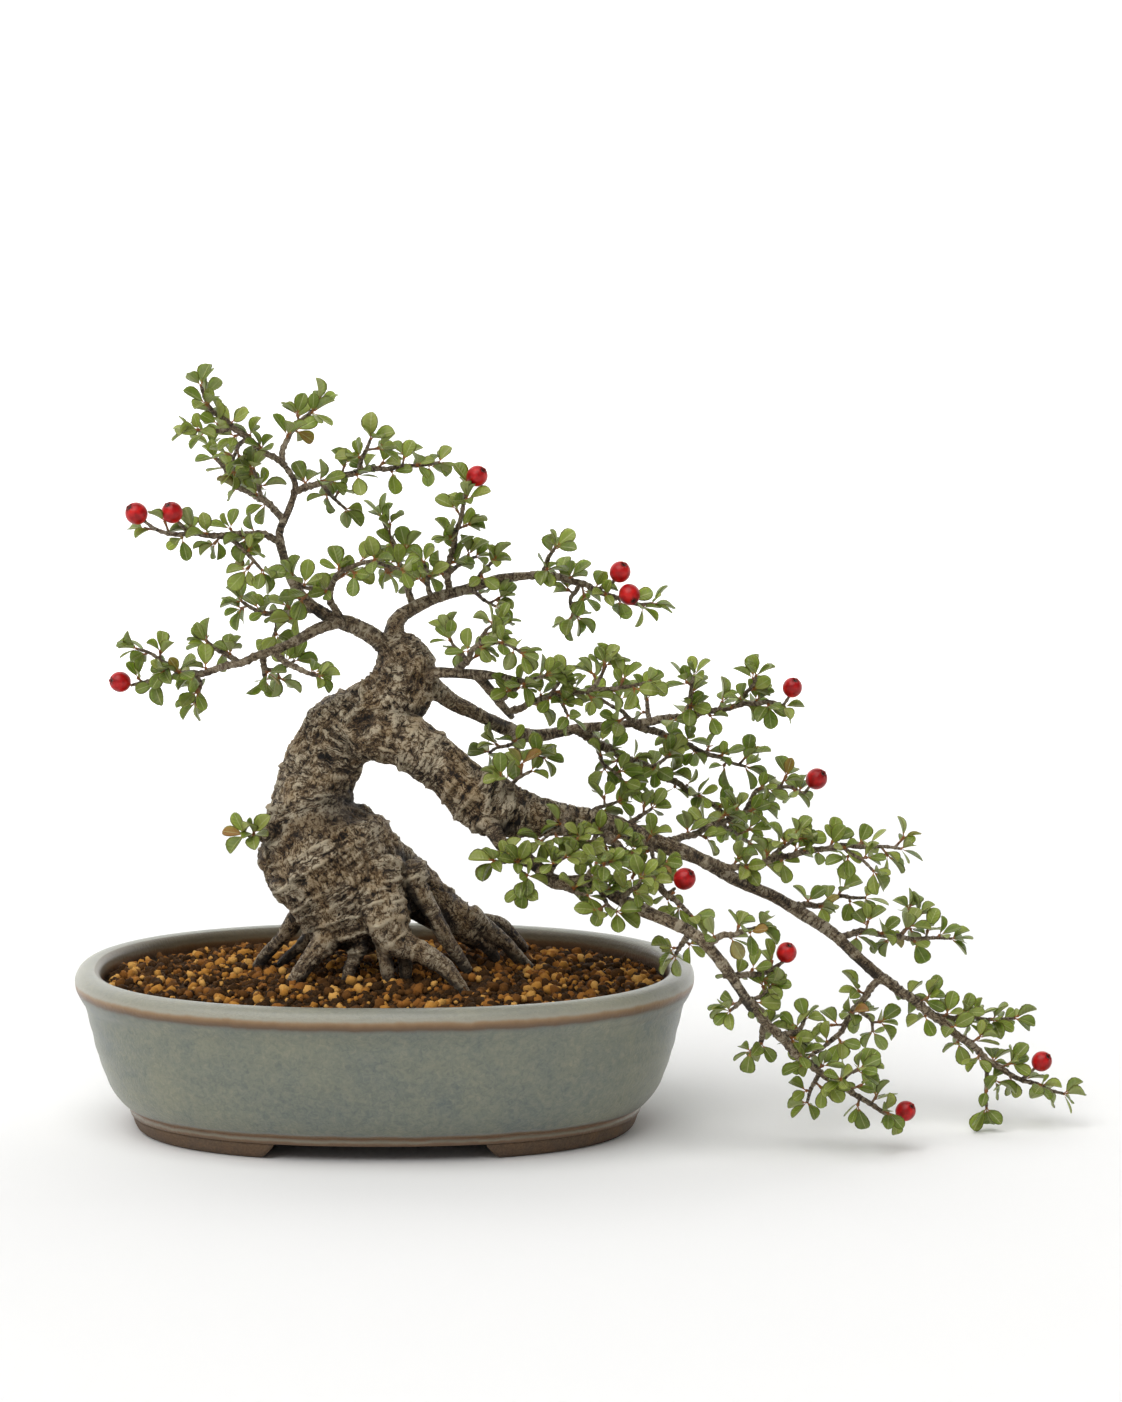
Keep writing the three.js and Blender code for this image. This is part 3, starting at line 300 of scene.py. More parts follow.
berryCentres = [
    (-77, -23, 201), (-66, -20, 201), (30, 6, 210), (76, 15, 178), (79, 12, 171), (-83, -20, 147),
    (132, 17, 140), (141, 36, 107), (128, -43, 64), (166, -43, 13), (212, -10, 22), (96, -34, 86),
]


def linear(code, alpha=1.0):  # sRGB hex to linear: each channel to the power 2.4 above its straight foot
    c = np.array([int(code[i:i + 2], 16) for i in (1, 3, 5)]) / 255
    c = np.where(c <= 0.04045, c / 12.92, ((c + 0.055) / 1.055) ** 2.4)
    return (*c.tolist(), alpha)


def unit(v):  # a vector over its length, along the last axis
    return v / np.maximum(np.linalg.norm(v, axis=-1, keepdims=True), 1e-9)


def merge(parts):  # parts are put end to end, and each one's face numbers rise by the points before it
    starts = np.cumsum([0] + [len(p["points"]) for p in parts[:-1]])
    merged = {"points": np.concatenate([p["points"] for p in parts])}
    for kind in ("quads", "tris"):
        lists = [p[kind] + s for p, s in zip(parts, starts) if len(p.get(kind, ()))]
        merged[kind] = np.concatenate(lists) if lists else np.zeros((0, 4 if kind == "quads" else 3), int)
    for key in parts[0].get("fields", {}):
        merged.setdefault("fields", {})[key] = np.concatenate([p["fields"][key] for p in parts])
    return merged


def makeObject(name, part, material, smooth=True):
    # points in mm from the pot's middle become metres in the frame
    mesh = bpy.data.meshes.new(name)
    points = (part["points"] + potMiddle) / 1000
    quads, tris = part.get("quads", np.zeros((0, 4), int)), part.get("tris", np.zeros((0, 3), int))
    corners = np.concatenate([quads.ravel(), tris.ravel()]).astype(np.int32)
    starts = np.append(np.arange(len(quads)) * 4, len(quads) * 4 + np.arange(len(tris)) * 3)
    mesh.vertices.add(len(points))
    mesh.vertices.foreach_set("co", points.astype(np.float32).ravel())
    mesh.loops.add(len(corners))
    mesh.loops.foreach_set("vertex_index", corners)
    mesh.polygons.add(len(starts))
    mesh.polygons.foreach_set("loop_start", starts.astype(np.int32))
    mesh.polygons.foreach_set("use_smooth", np.full(len(starts), smooth))
    mesh.update(calc_edges=True)
    mesh.validate()
    addFields(mesh, part.get("fields", {}))
    mesh.materials.append(material)
    obj = bpy.data.objects.new(name, mesh)
    bpy.context.scene.collection.objects.link(obj)
    return obj


def addFields(mesh, fields):  # one number or one vector at each point
    for key, values in fields.items():
        kind, slotName = ("FLOAT", "value") if values.ndim == 1 else ("FLOAT_VECTOR", "vector")
        mesh.attributes.new(key, kind, "POINT").data.foreach_set(slotName, values.astype(np.float32).ravel())


def finishPiece(obj, slot, *nodes):
    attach(obj, "root")
    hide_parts(*nodes)
    print(f"{obj.name}: {len(obj.data.polygons)} faces")


def newMaterial(name):
    material = bpy.data.materials.new(name)
    material.use_nodes = True
    tree = material.node_tree
    shader = tree.nodes["Principled BSDF"]
    return material, tree, shader


def fill(tree, made, settings, links):
    # settings names a node's properties or its unlinked sockets, links names sockets fed by (node, output);
    # hex codes are colours, and stops are a colour ramp's (position, hex) pairs
    for key, value in settings.items():
        if key == "stops":
            elements = made.color_ramp.elements
            while len(elements) < len(value):
                elements.new(0.5)
            for element, (position, code) in zip(elements, value):
                element.position, element.color = position, linear(code)
        elif isinstance(key, str) and hasattr(made, key):
            setattr(made, key, value)
        else:
            made.inputs[key].default_value = linear(value) if isinstance(value, str) else value
    for key, (source, output) in links.items():
        tree.links.new(source.outputs[output], made.inputs[key])


def node(tree, kind, settings=None, links=None):  # adds a node with its settings and links
    made = tree.nodes.new("ShaderNode" + kind)
    fill(tree, made, settings or {}, links or {})
    return made


def scatter(cells, seed):  # a fixed value from 0 to 1 for each whole cell: mixed products, folded down
    c = cells.astype(np.int64)
    h = c[..., 0] * 374761393 + c[..., 1] * 668265263 + c[..., 2] * 1442695041 + seed * 974634777
    h = ((h ^ (h >> 13)) * 1274126177) & 0xFFFFFFFF
    return ((h ^ (h >> 16)) & 0xFFFFFF) / 0xFFFFFF


def noise(p, seed=0):  # values at the 8 corners of each point's cell, mixed by smooth steps
    cell = np.floor(p)
    f = p - cell
    f = f * f * f * (f * (6 * f - 15) + 10)
    total = 0
    for corner in np.ndindex(2, 2, 2):
        weight = np.prod(np.where(np.array(corner) == 1, f, 1 - f), axis=-1)
        total = total + weight * scatter(cell + corner, seed)
    return total


def fractal(p, octaves, seed=0):  # noise plus finer noise at half the strength, kept from 0 to 1
    total, strength, reach = 0, 1.0, 0.0
    for i in range(octaves):
        total = total + strength * noise(p * 2.03 ** i, seed + i)
        reach += strength
        strength *= 0.5
    return total / reach


def cracks(p, octaves, seed=0):  # 0 in thin cracks and 1 on the plates between them
    return np.minimum(np.abs(2 * fractal(p, octaves, seed) - 1) * 5, 1)


def ridges(p, octaves, seed=0):  # 1 on thin crests and lower between them, by the distance from middling
    return 1 - np.abs(2 * fractal(p, octaves, seed) - 1) * 2.4


def smoothPath(path, step):
    # Catmull-Rom curve through x, y, z, radius points: half of a cubic in the place between two of them,
    # read off again at even steps of its length
    p = np.asarray(path, float)
    u = np.linspace(0, len(p) - 1, 30 * (len(p) - 1) + 1)
    k = np.minimum(u.astype(int), len(p) - 2)
    f = (u - k)[:, None]
    a, b, c, d = p[np.maximum(k - 1, 0)], p[k], p[k + 1], p[np.minimum(k + 2, len(p) - 1)]
    q = 0.5 * (2 * b + (c - a) * f + (2 * a - 5 * b + 4 * c - d) * f ** 2 + (3 * b - a - 3 * c + d) * f ** 3)
    q[:, 3] = b[:, 3] + (c[:, 3] - b[:, 3]) * f[:, 0]
    reach = np.concatenate([[0], np.cumsum(np.linalg.norm(np.diff(q[:, :3], axis=0), axis=1))])
    along = np.linspace(0, reach[-1], max(3, int(round(reach[-1] / step)) + 1))
    return np.stack([np.interp(along, reach, q[:, i]) for i in range(4)], axis=1), along


def frameAlong(points):
    # tangent from differences; side is the direction the path turns in least, made square to the tangent
    tangent = unit(np.gradient(points, axis=0))
    reference = np.linalg.eigh(tangent.T @ tangent)[1][:, 0]
    side = unit(reference - (tangent @ reference)[:, None] * tangent)
    return tangent, side, np.cross(tangent, side)


def ringFaces(rows, around):
    # each point is joined to its neighbour and to the same two of the next ring; the first and last rings are
    # closed by the two points that follow the rings
    i, j = np.meshgrid(np.arange(rows - 1), np.arange(around), indexing="ij")
    a, b = i * around + j, i * around + (j + 1) % around
    quads = np.stack([a, b, b + around, a + around], axis=-1).reshape(-1, 4)
    k = np.arange(around)
    end, top = rows * around, (rows - 1) * around
    tris = np.concatenate([np.stack([np.full(around, end), (k + 1) % around, k], axis=1),
                           np.stack([np.full(around, end + 1), top + k, top + (k + 1) % around], axis=1)])
    return quads, tris


def tube(path, step, sides, shape=None):
    # rings of radius r about the path: centre + r (cos a side + sin a up), closed by a point at each end
    samples, along = smoothPath(path, step)
    tangent, side, up = frameAlong(samples[:, :3])
    angle = np.linspace(0, 2 * math.pi, sides, endpoint=False)
    radius = np.repeat(samples[:, 3:4], sides, axis=1)
    if shape is not None:
        radius = radius + shape(along[:, None], angle[None, :], radius)
    out = np.cos(angle)[None, :, None] * side[:, None, :] + np.sin(angle)[None, :, None] * up[:, None, :]
    rings = samples[:, None, :3] + radius[..., None] * out
    first = samples[:1, :3] - 0.5 * samples[:1, 3:4] * tangent[:1]
    last = samples[-1:, :3] + 0.7 * samples[-1:, 3:4] * tangent[-1:]
    quads, tris = ringFaces(len(samples), sides)
    lengthwise = np.repeat(along[:, None], sides, axis=1)
    grain = np.stack([lengthwise, radius * np.cos(angle), radius * np.sin(angle)], axis=-1)
    ends = np.array([[along[0], 0, 0], [along[-1], 0, 0]])
    thick = np.concatenate([radius.ravel(), samples[[0, -1], 3]])
    return {"points": np.concatenate([rings.reshape(-1, 3), first, last]), "quads": quads, "tris": tris,
            "fields": {"grain": np.concatenate([grain.reshape(-1, 3), ends]), "thick": thick}}


potSpec = {
    "power": 2.3,  # 2 is an ellipse, more is squarer
    "narrower": 22.5,  # how much less the half width is than the half length
    # outer wall from the underside up to the rim's crest and down inside: height, half length
    "profile": [
        (5.3, 70), (5.3, 81.6), (5.5, 82.6), (6.3, 83.0), (7.2, 82.9), (7.6, 82.6), (8.0, 83.4), (9, 84.9),
        (11.8, 87.4), (15, 89.4), (18.4, 90.7), (21.7, 92), (25, 92.9), (28, 93.9), (31.5, 94.5), (35, 95.5),
        (38, 96.1), (39.7, 96.5), (41.4, 97.1), (43, 98.1), (44.7, 99), (46.3, 99.7), (47.8, 100),
        (49.3, 99.9), (50.6, 99.2), (51.5, 97.9), (51.95, 96.2), (52, 94.6), (51.6, 93), (50.7, 92.1),
        (49.4, 91.7), (44, 91.2), (38, 90.2), (28, 87.5), (18, 83.5), (14, 80), (12.4, 76.5), (12, 70)],
    "footTop": 5.4,
    "footGap": (33.2, 4.6),  # half the opening at the top of the feet, and how far the ends slope back below
    "drain": (44, 9),  # distance from the middle and radius of each drain hole
    "around": 288,
}


def oval(half, angle, spec=potSpec):
    # x = a sign(c)|c|^(2/n) and y = b sign(s)|s|^(2/n), an ellipse whose powers are below 1 so it is squarer
    c, s = np.cos(angle), np.sin(angle)
    power = 2 / spec["power"]
    return half * np.sign(c) * np.abs(c) ** power, (half - spec["narrower"]) * np.sign(s) * np.abs(s) ** power


def ovalReach(x, y, half, spec=potSpec):  # 0 at the middle and 1 on the oval of that half length
    n = spec["power"]
    return (np.abs(x / half) ** n + np.abs(y / (half - spec["narrower"])) ** n) ** (1 / n)


def makePotWall():  # the profile carried round the oval, with the floor's two sides closed by a point each
    spec = potSpec
    profile = np.array([(half, z, 0, 1) for z, half in spec["profile"]], float)
    fine = smoothPath(profile, 0.55)[0]
    fine = np.concatenate([[profile[0]], fine[1:-1], [profile[-1]]])
    angle = np.linspace(0, 2 * math.pi, spec["around"], endpoint=False)
    x, y = oval(fine[:, :1], angle[None, :])
    z = np.broadcast_to(fine[:, 1:2], x.shape)
    wobble = 1 + 0.0025 * (fractal(np.stack([x / 40, y / 40, z / 30], -1), 2, 5) - 0.5)  # slightly uneven
    points = np.stack([x * wobble, y * wobble, z], -1)
    quads, tris = ringFaces(*x.shape)
    ends = np.array([[0, 0, fine[0, 1]], [0, 0, fine[-1, 1]]])
    return {"points": np.concatenate([points.reshape(-1, 3), ends]), "quads": quads, "tris": tris}


def makeFoot(side):
    # a rounded foot section carried round one end of the oval; its end angle follows from the gap at each
    # height, cos a = (gap / half length)^(n/2)
    spec = potSpec
    section = np.array([(5.4, 82.2), (4.2, 82.0), (2.2, 81.4), (0.9, 80.7), (0.25, 79.9), (0, 78.8), (0, 74),
                        (0, 70.2), (0.4, 69.2), (2, 68.6), (5.4, 68.2)])
    height, half = section[:, 0], section[:, 1]
    gapTop, slope = spec["footGap"]
    gapHere = gapTop + slope * (1 - height / spec["footTop"]) ** 1.4
    end = np.arccos((gapHere / half) ** (spec["power"] / 2))
    t = np.linspace(-1, 1, 120)
    x, y = oval(half[:, None], end[:, None] * t[None, :])
    points = np.stack([x * side, y, np.broadcast_to(height[:, None], x.shape)], -1).transpose(1, 0, 2)
    caps = points[[0, -1]].mean(axis=1)
    quads, tris = ringFaces(*points.shape[:2])
    if side > 0:
        quads, tris = quads[:, ::-1], tris[:, ::-1]
    return {"points": np.concatenate([points.reshape(-1, 3), caps]), "quads": quads, "tris": tris}


def glazeMaterial():
    # Celadon glaze on stoneware, dipped and fired: a glassy grey-green coat over mottled blue, thin and brown
    # where it runs off the rim's lower edge and the foot's ledge, with a fine pebbled skin
    material, tree, shader = newMaterial("celadon_glaze_fired")
    place = node(tree, "TexCoord")
    # lengths in mm from here on
    size = node(tree, "Mapping", {"Scale": (1000, 1000, 1000)}, {"Vector": (place, "Object")})
    split = node(tree, "SeparateXYZ", {}, {"Vector": (size, "Vector")})
    cloud = node(tree, "TexNoise", {"Scale": 0.035, "Detail": 4, "Roughness": 0.6},
                 {"Vector": (size, "Vector")})
    mottle = node(tree, "TexNoise", {"Scale": 0.55, "Detail": 5, "Roughness": 0.7, "Distortion": 0.8},
                  {"Vector": (size, "Vector")})
    base = node(tree, "ValToRGB", {"stops": [(0.34, "#5d6868"), (0.5, "#74796c"), (0.66, "#888872")]},
                {"Fac": (cloud, "Fac")})
    speckle = node(tree, "ValToRGB", {"stops": [(0.32, "#4f5754"), (0.5, "#747869"), (0.7, "#93907b")]},
                   {"Fac": (mottle, "Fac")})
    body = node(tree, "Mix", {"data_type": "RGBA", 0: 0.5}, {6: (base, "Color"), 7: (speckle, "Color")})
    waver = node(tree, "Math", {"operation": "MULTIPLY_ADD", 1: 2.4, 2: -1.2}, {0: (cloud, "Fac")})
    drip = node(tree, "TexNoise", {"Scale": 0.16, "Detail": 3}, {"Vector": (size, "Vector")})
    drift = node(tree, "Math", {"operation": "MULTIPLY_ADD", 1: 3.0, 2: -1.5}, {0: (drip, "Fac")})
    shift = node(tree, "Math", {"operation": "ADD"}, {0: (waver, 0), 1: (drift, 0)})
    height = node(tree, "Math", {"operation": "MULTIPLY_ADD", 1: 0.45}, {0: (shift, 0), 2: (split, "Z")})
    scaled = node(tree, "Math", {"operation": "DIVIDE", 1: 60}, {0: (height, 0)})
    # bands by height over 60 mm: ledge, wall, brown break under the rim, pale rim, partly the glaze's grey
    # there and partly a painted highlight along the crest
    band = node(tree, "ValToRGB", {"stops": [
        (0.08, "#5a4630"), (0.1, "#70543a"), (0.112, "#85806e"), (0.125, "#7a5a3c"), (0.142, "#7a6248"),
        (0.155, "#808080"), (0.66, "#808080"), (0.745, "#666a63"), (0.766, "#5c4730"), (0.784, "#775839"),
        (0.8, "#8f7451"), (0.815, "#a39f90"), (0.865, "#aca899"), (0.88, "#7b8484")]},
        {"Fac": (scaled, 0)})
    mask = node(tree, "ValToRGB", {"stops": [
        (0.14, "#ffffff"), (0.165, "#000000"), (0.735, "#000000"), (0.764, "#ffffff"),
        (0.805, "#ffffff"), (0.835, "#b8b8b8"), (0.87, "#a0a0a0")]}, {"Fac": (scaled, 0)})
    coat = node(tree, "Mix", {"data_type": "RGBA"}, {0: (mask, "Color"), 6: (body, 2), 7: (band, "Color")})
    shape = node(tree, "NewGeometry")
    facing = node(tree, "VectorMath", {"operation": "DOT_PRODUCT"},
                  {0: (place, "Object"), 1: (shape, "Normal")})
    # painted shade: skin that faces the pot's middle, as inside the rim, is darker
    innerShade = node(tree, "ValToRGB", {"stops": [(0.0, "#ffffff"), (0.02, "#000000")]},
                  {"Fac": (facing, "Value")})
    colour = node(tree, "Mix", {"data_type": "RGBA", "blend_type": "MULTIPLY", 7: "#b5a896"},
                  {0: (innerShade, "Color"), 6: (coat, 2)})
    pebble = node(tree, "TexNoise", {"Scale": 1.2, "Detail": 3, "Roughness": 0.6},
                  {"Vector": (size, "Vector")})
    bump = node(tree, "Bump", {"Strength": 0.7, "Distance": 0.0004}, {"Height": (pebble, "Fac")})
    rough = node(tree, "MapRange", {"To Min": 0.3, "To Max": 0.5}, {"Value": (mottle, "Fac")})
    fill(tree, shader, {"IOR": 1.5, "Coat Weight": 0.25, "Coat Roughness": 0.22},
         {"Base Color": (colour, 2), "Normal": (bump, "Normal"), "Roughness": (rough, 0)})
    return material


def clayMaterial():
    # Unglazed stoneware clay, fired: dull brown, with rust and dark iron flecks and a gritty skin
    material, tree, shader = newMaterial("stoneware_clay_bare")
    place = node(tree, "TexCoord")
    size = node(tree, "Mapping", {"Scale": (1000, 1000, 1000)}, {"Vector": (place, "Object")})
    grit = node(tree, "TexNoise", {"Scale": 1.4, "Detail": 5, "Roughness": 0.75},
                {"Vector": (size, "Vector")})
    cloud = node(tree, "TexNoise", {"Scale": 0.09, "Detail": 3}, {"Vector": (size, "Vector")})
    flecks = node(tree, "ValToRGB", {"stops": [
        (0.3, "#2f241b"), (0.48, "#5a4836"), (0.6, "#6e5740"), (0.72, "#8f6a42")]},
        {"Fac": (grit, "Fac")})
    tone = node(tree, "ValToRGB", {"stops": [(0.35, "#6d5238"), (0.55, "#5b4a3b"), (0.7, "#7b5c3c")]},
                {"Fac": (cloud, "Fac")})
    colour = node(tree, "Mix", {"data_type": "RGBA", 0: 0.4}, {6: (flecks, "Color"), 7: (tone, "Color")})
    bump = node(tree, "Bump", {"Strength": 0.5, "Distance": 0.0004}, {"Height": (grit, "Fac")})
    fill(tree, shader, {"Roughness": 0.75}, {"Base Color": (colour, 2), "Normal": (bump, "Normal")})
    return material


def cutDrains(pot):  # each drain hole is a plain cylinder taken from the floor
    away, radius = potSpec["drain"]
    for x in (-away, away):
        bpy.ops.mesh.primitive_cylinder_add(vertices=48, radius=radius / 1000, depth=0.03,
                                            location=((x + potMiddle[0]) / 1000, potMiddle[1] / 1000, 0.008))
        cutter = bpy.context.object
        cut = pot.modifiers.new("drain", "BOOLEAN")
        cut.operation, cut.solver, cut.object = "DIFFERENCE", "EXACT", cutter
        bpy.context.view_layer.objects.active = pot
        bpy.ops.object.modifier_apply(modifier=cut.name)
        bpy.data.objects.remove(cutter)


clay = clayMaterial()
potWall = makeObject("pot_wall", makePotWall(), glazeMaterial())
cutDrains(potWall)
finishPiece(potWall, "pot_clay", "pot")
potFeet = makeObject("pot_feet", merge([makeFoot(1), makeFoot(-1)]), clay)
finishPiece(potFeet, "pot_clay", "pot")


barkSpec = {
    "voxel": 0.67,  # mm, size of the skin's squares
    "wrinkle": (1.7, 8.5),  # mm, spacing of wrinkles along the wood and their length round it
    "fibre": (12.0, 1.7),  # mm, the same for fibres that run along the wood
    "band": 6.3,  # mm from one raised ring to the next
    "depth": 0.092,  # relief over the wood's radius
    "least": 0.08,  # mm, relief on the thinnest wood
    "most": 0.95,  # mm
    # knots and healed cuts: x, y, z, radius, height
    "knots": [(-6, -10, 132, 6.5, 2.2), (-21, -6, 127, 3.6, 1.2), (14, -3, 143, 3.2, 0.8),
              (29, -16, 105, 6.5, 1.5), (-35, -12, 97, 5.5, 2.2), (5, -8, 142, 2.4, 0.7),
              (42, -15, 102, 5, 1.3), (4, -4, 156, 2.0, 0.6), (-10, -2, 109, 2.6, 0.6),
              (-26, -19, 83, 4.0, 0.8), (20, -12, 125, 3.0, 0.7), (-3, -18, 86, 3, 0.6)],
}


def sampleWood(paths):  # centres, radii, frames and distances along for every stretch, end to end
    rows, offset = [], 0.0
    for path in paths:
        samples, along = smoothPath(path, 1.2)
        tangent, side, up = frameAlong(samples[:, :3])
        rows.append(np.concatenate([samples, tangent, side, up, (along + offset)[:, None]], axis=1))
        offset += along[-1] + 37.0  # so that the grain of two stretches isn't the same
    return np.concatenate(rows)


def grainOf(points, wood):
    # for each point the stretch whose skin is nearest: distance along it, then the place across it, in mm
    grain, thick = np.zeros((len(points), 3)), np.zeros(len(points))
    for start in range(0, len(points), 20000):
        p = points[start:start + 20000]
        away = np.linalg.norm(p[:, None, :] - wood[None, :, :3], axis=2) - wood[None, :, 3]
        w = wood[np.argmin(away, axis=1)]
        offset = p - w[:, :3]
        pick = slice(start, start + len(p))
        grain[pick] = np.stack([w[:, 13] + np.sum(offset * w[:, 4:7], 1), np.sum(offset * w[:, 7:10], 1),
                                np.sum(offset * w[:, 10:13], 1)], axis=1)
        thick[pick] = w[:, 3]
    return grain, thick


def shadeFromNearWood(points, normals, wood):
    # from 0 in the open to 1 where other wood or the soil stands close before the skin, as in a fork or under
    # a root: the gap left at a few millimetres out along the normal, compared with that reach; this sets the
    # painted shade in the bark's colour
    reach = 6.0
    ahead = points + reach * normals
    gaps = [np.min(np.linalg.norm(p[:, None] - wood[None, :, :3], axis=2) - wood[None, :, 3], axis=1)
            for p in np.array_split(ahead, 1 + len(ahead) // 20000)]
    gap = np.minimum(np.concatenate(gaps), ahead[:, 2] - 49)
    return np.clip(1.25 * (reach - gap) / reach - 0.2, 0, 1)


def barkRelief(points, grain, thick, spec=barkSpec):
    # wrinkles are ridges packed along the wood, fibres are ridges packed round it, and a broad noise picks
    # between them; knots are collars round a pit, with rings that die away
    warp = 3.4 * (np.stack([fractal(points / 9, 2, s) for s in (21, 22, 23)], -1) - 0.5)
    g = grain + warp
    spacing, reach = spec["wrinkle"]
    ringwise = g / (spacing, reach, reach)
    wrinkles = 0.6 * ridges(ringwise, 3, 31) + 1.1 * cracks(ringwise, 2, 35) - 1.05
    length, width = spec["fibre"]
    lengthwise = g / (length, width, width)
    fibres = 0.6 * ridges(lengthwise, 3, 41) + 1.1 * cracks(lengthwise, 2, 45) - 1.05
    choice = np.clip(3.2 * (fractal(points / 16, 2, 51) - 0.42), 0, 1)
    low = np.clip((92 - points[:, 2]) / 24, 0, 1)
    choice = np.clip(choice * (1 - 0.35 * low) + 0.15, 0, 1)
    plates = fractal(points / 3.2, 3, 61) - 0.5
    bands = (grain[:, 0] + 4 * fractal(points / 7, 2, 65)) / spec["band"]
    bands = np.exp(-((bands % 1 - 0.5) / 0.1) ** 2) * np.clip(4 * fractal(points / 12, 1, 67) - 1.6, 0, 1)
    relief = wrinkles * choice + fibres * (1 - choice) + 0.6 * plates + 1.0 * bands
    lumps = fractal(points / 11, 3, 71) - 0.5
    depth = np.clip(spec["depth"] * thick, spec["least"], spec["most"])
    height = depth * relief + 4.5 * depth * lumps
    for x, y, z, radius, rise in spec["knots"]:
        d = np.linalg.norm(points - (x, y, z), axis=1) / radius
        collar = np.exp(-((d - 0.8) / 0.3) ** 2) - 0.9 * np.exp(-(d / 0.4) ** 2)
        height = height + rise * (0.6 * collar + 0.18 * np.cos(7.5 * d) * np.exp(-d * d))
        relief = relief + 0.7 * np.cos(7.5 * d) * np.exp(-d * d) - 0.6 * rise * np.exp(-(d / 0.24) ** 2)
    return height, relief, lumps


def barkMaterial():
    # Living bark, weathered: silver-tan crests over brown, near-black furrows, ochre where flakes are gone;
    # painted shade darkens it in forks and under roots
    material, tree, shader = newMaterial("bark_weathered")
    relief = node(tree, "Attribute", {"attribute_name": "relief"})
    grain = node(tree, "Attribute", {"attribute_name": "grain"})
    thick = node(tree, "Attribute", {"attribute_name": "thick"})
    place = node(tree, "TexCoord")
    size = node(tree, "Mapping", {"Scale": (1000, 1000, 1000)}, {"Vector": (place, "Object")})
    wander = node(tree, "TexNoise", {"Scale": 0.5, "Detail": 2}, {"Vector": (size, "Vector")})
    bent = node(tree, "VectorMath", {"operation": "MULTIPLY_ADD", 1: (3, 3, 3)},
                {0: (wander, "Color"), 2: (grain, "Vector")})
    around = node(tree, "Mapping", {"Scale": (1.7, 0.26, 0.26)}, {"Vector": (bent, 0)})
    ringed = node(tree, "TexNoise", {"Scale": 1.0, "Detail": 6, "Roughness": 0.7},
                  {"Vector": (around, "Vector")})
    lengthwise = node(tree, "Mapping", {"Scale": (0.2, 1.45, 1.45)}, {"Vector": (bent, 0)})
    fibred = node(tree, "TexNoise", {"Scale": 1.0, "Detail": 6, "Roughness": 0.7},
                  {"Vector": (lengthwise, "Vector")})
    patch = node(tree, "TexNoise", {"Scale": 0.1, "Detail": 4, "Roughness": 0.6},
                 {"Vector": (size, "Vector")})
    pick = node(tree, "ValToRGB", {"stops": [(0.42, "#000000"), (0.56, "#ffffff")]},
                {"Fac": (patch, "Fac")})
    threads = node(tree, "Mix", {"data_type": "RGBA"},
                   {0: (pick, "Color"), 6: (ringed, "Fac"), 7: (fibred, "Fac")})
    flakes = node(tree, "Mapping", {"Scale": (0.42, 0.26, 0.26)}, {"Vector": (bent, 0)})
    cells = node(tree, "TexVoronoi", {"feature": "DISTANCE_TO_EDGE", "Scale": 1.0},
                 {"Vector": (flakes, "Vector")})
    gap = node(tree, "ValToRGB", {"stops": [(0.0, "#000000"), (0.1, "#ffffff")]},
               {"Fac": (cells, "Distance")})
    grit = node(tree, "TexNoise", {"Scale": 1.6, "Detail": 4, "Roughness": 0.7},
                {"Vector": (size, "Vector")})
    mixed = node(tree, "Math", {"operation": "MULTIPLY_ADD", 1: 2.7, 2: -1.42}, {0: (threads, 2)})
    worn = node(tree, "Math", {"operation": "MULTIPLY_ADD", 1: 0.22}, {0: (gap, "Color"), 2: (mixed, 0)})
    height = node(tree, "Math", {"operation": "ADD"}, {0: (relief, "Fac"), 1: (worn, 0)})
    bark = node(tree, "ValToRGB", {"stops": [
        (0.22, "#100a05"), (0.4, "#35271a"), (0.55, "#625038"), (0.69, "#968165"), (0.86, "#d8caad")]},
        {"Fac": (height, 0)})
    warm = node(tree, "ValToRGB", {"stops": [
        (0.18, "#160d05"), (0.38, "#4b3218"), (0.56, "#83602f"), (0.9, "#b99258")]}, {"Fac": (height, 0)})
    where = node(tree, "ValToRGB", {"stops": [(0.46, "#000000"), (0.6, "#b4b4b4")]},
                 {"Fac": (patch, "Fac")})
    coat = node(tree, "Mix", {"data_type": "RGBA"},
                {0: (where, "Color"), 6: (bark, "Color"), 7: (warm, "Color")})
    dull = node(tree, "ValToRGB", {"stops": [
        (0.15, "#2c2118"), (0.42, "#564634"), (0.7, "#7e6d56"), (0.95, "#a99a82")]}, {"Fac": (height, 0)})
    fresh = node(tree, "Attribute", {"attribute_name": "fresh"})
    twig = node(tree, "Mix", {"data_type": "RGBA", 7: "#b06a2c"}, {0: (fresh, "Fac"), 6: (dull, "Color")})
    reach = node(tree, "Math", {"operation": "DIVIDE", 1: 4.5}, {0: (thick, "Fac")})
    slim = node(tree, "ValToRGB", {"stops": [(0.0, "#ffffff"), (1.0, "#000000")]}, {"Fac": (reach, 0)})
    skin = node(tree, "Mix", {"data_type": "RGBA"}, {0: (slim, "Color"), 6: (coat, 2), 7: (twig, 2)})
    closed = node(tree, "Attribute", {"attribute_name": "closed"})
    # painted shade: the bark turns near-black where other wood or the soil stands close, in forks and under
    # roots
    paintedShade = node(tree, "ValToRGB", {"stops": [(0.08, "#000000"), (0.8, "#e8e8e8")]},
                {"Fac": (closed, "Fac")})
    colour = node(tree, "Mix", {"data_type": "RGBA", 7: "#140c06"}, {0: (paintedShade, "Color"), 6: (skin, 2)})
    blend = node(tree, "Math", {"operation": "MULTIPLY_ADD", 1: 0.5}, {0: (grit, "Fac"), 2: (worn, 0)})
    bump = node(tree, "Bump", {"Strength": 1.0, "Distance": 0.0008}, {"Height": (blend, 0)})
    fill(tree, shader, {"Roughness": 0.58, "Specular IOR Level": 0.5},
         {"Base Color": (colour, 2), "Normal": (bump, "Normal")})
    return material


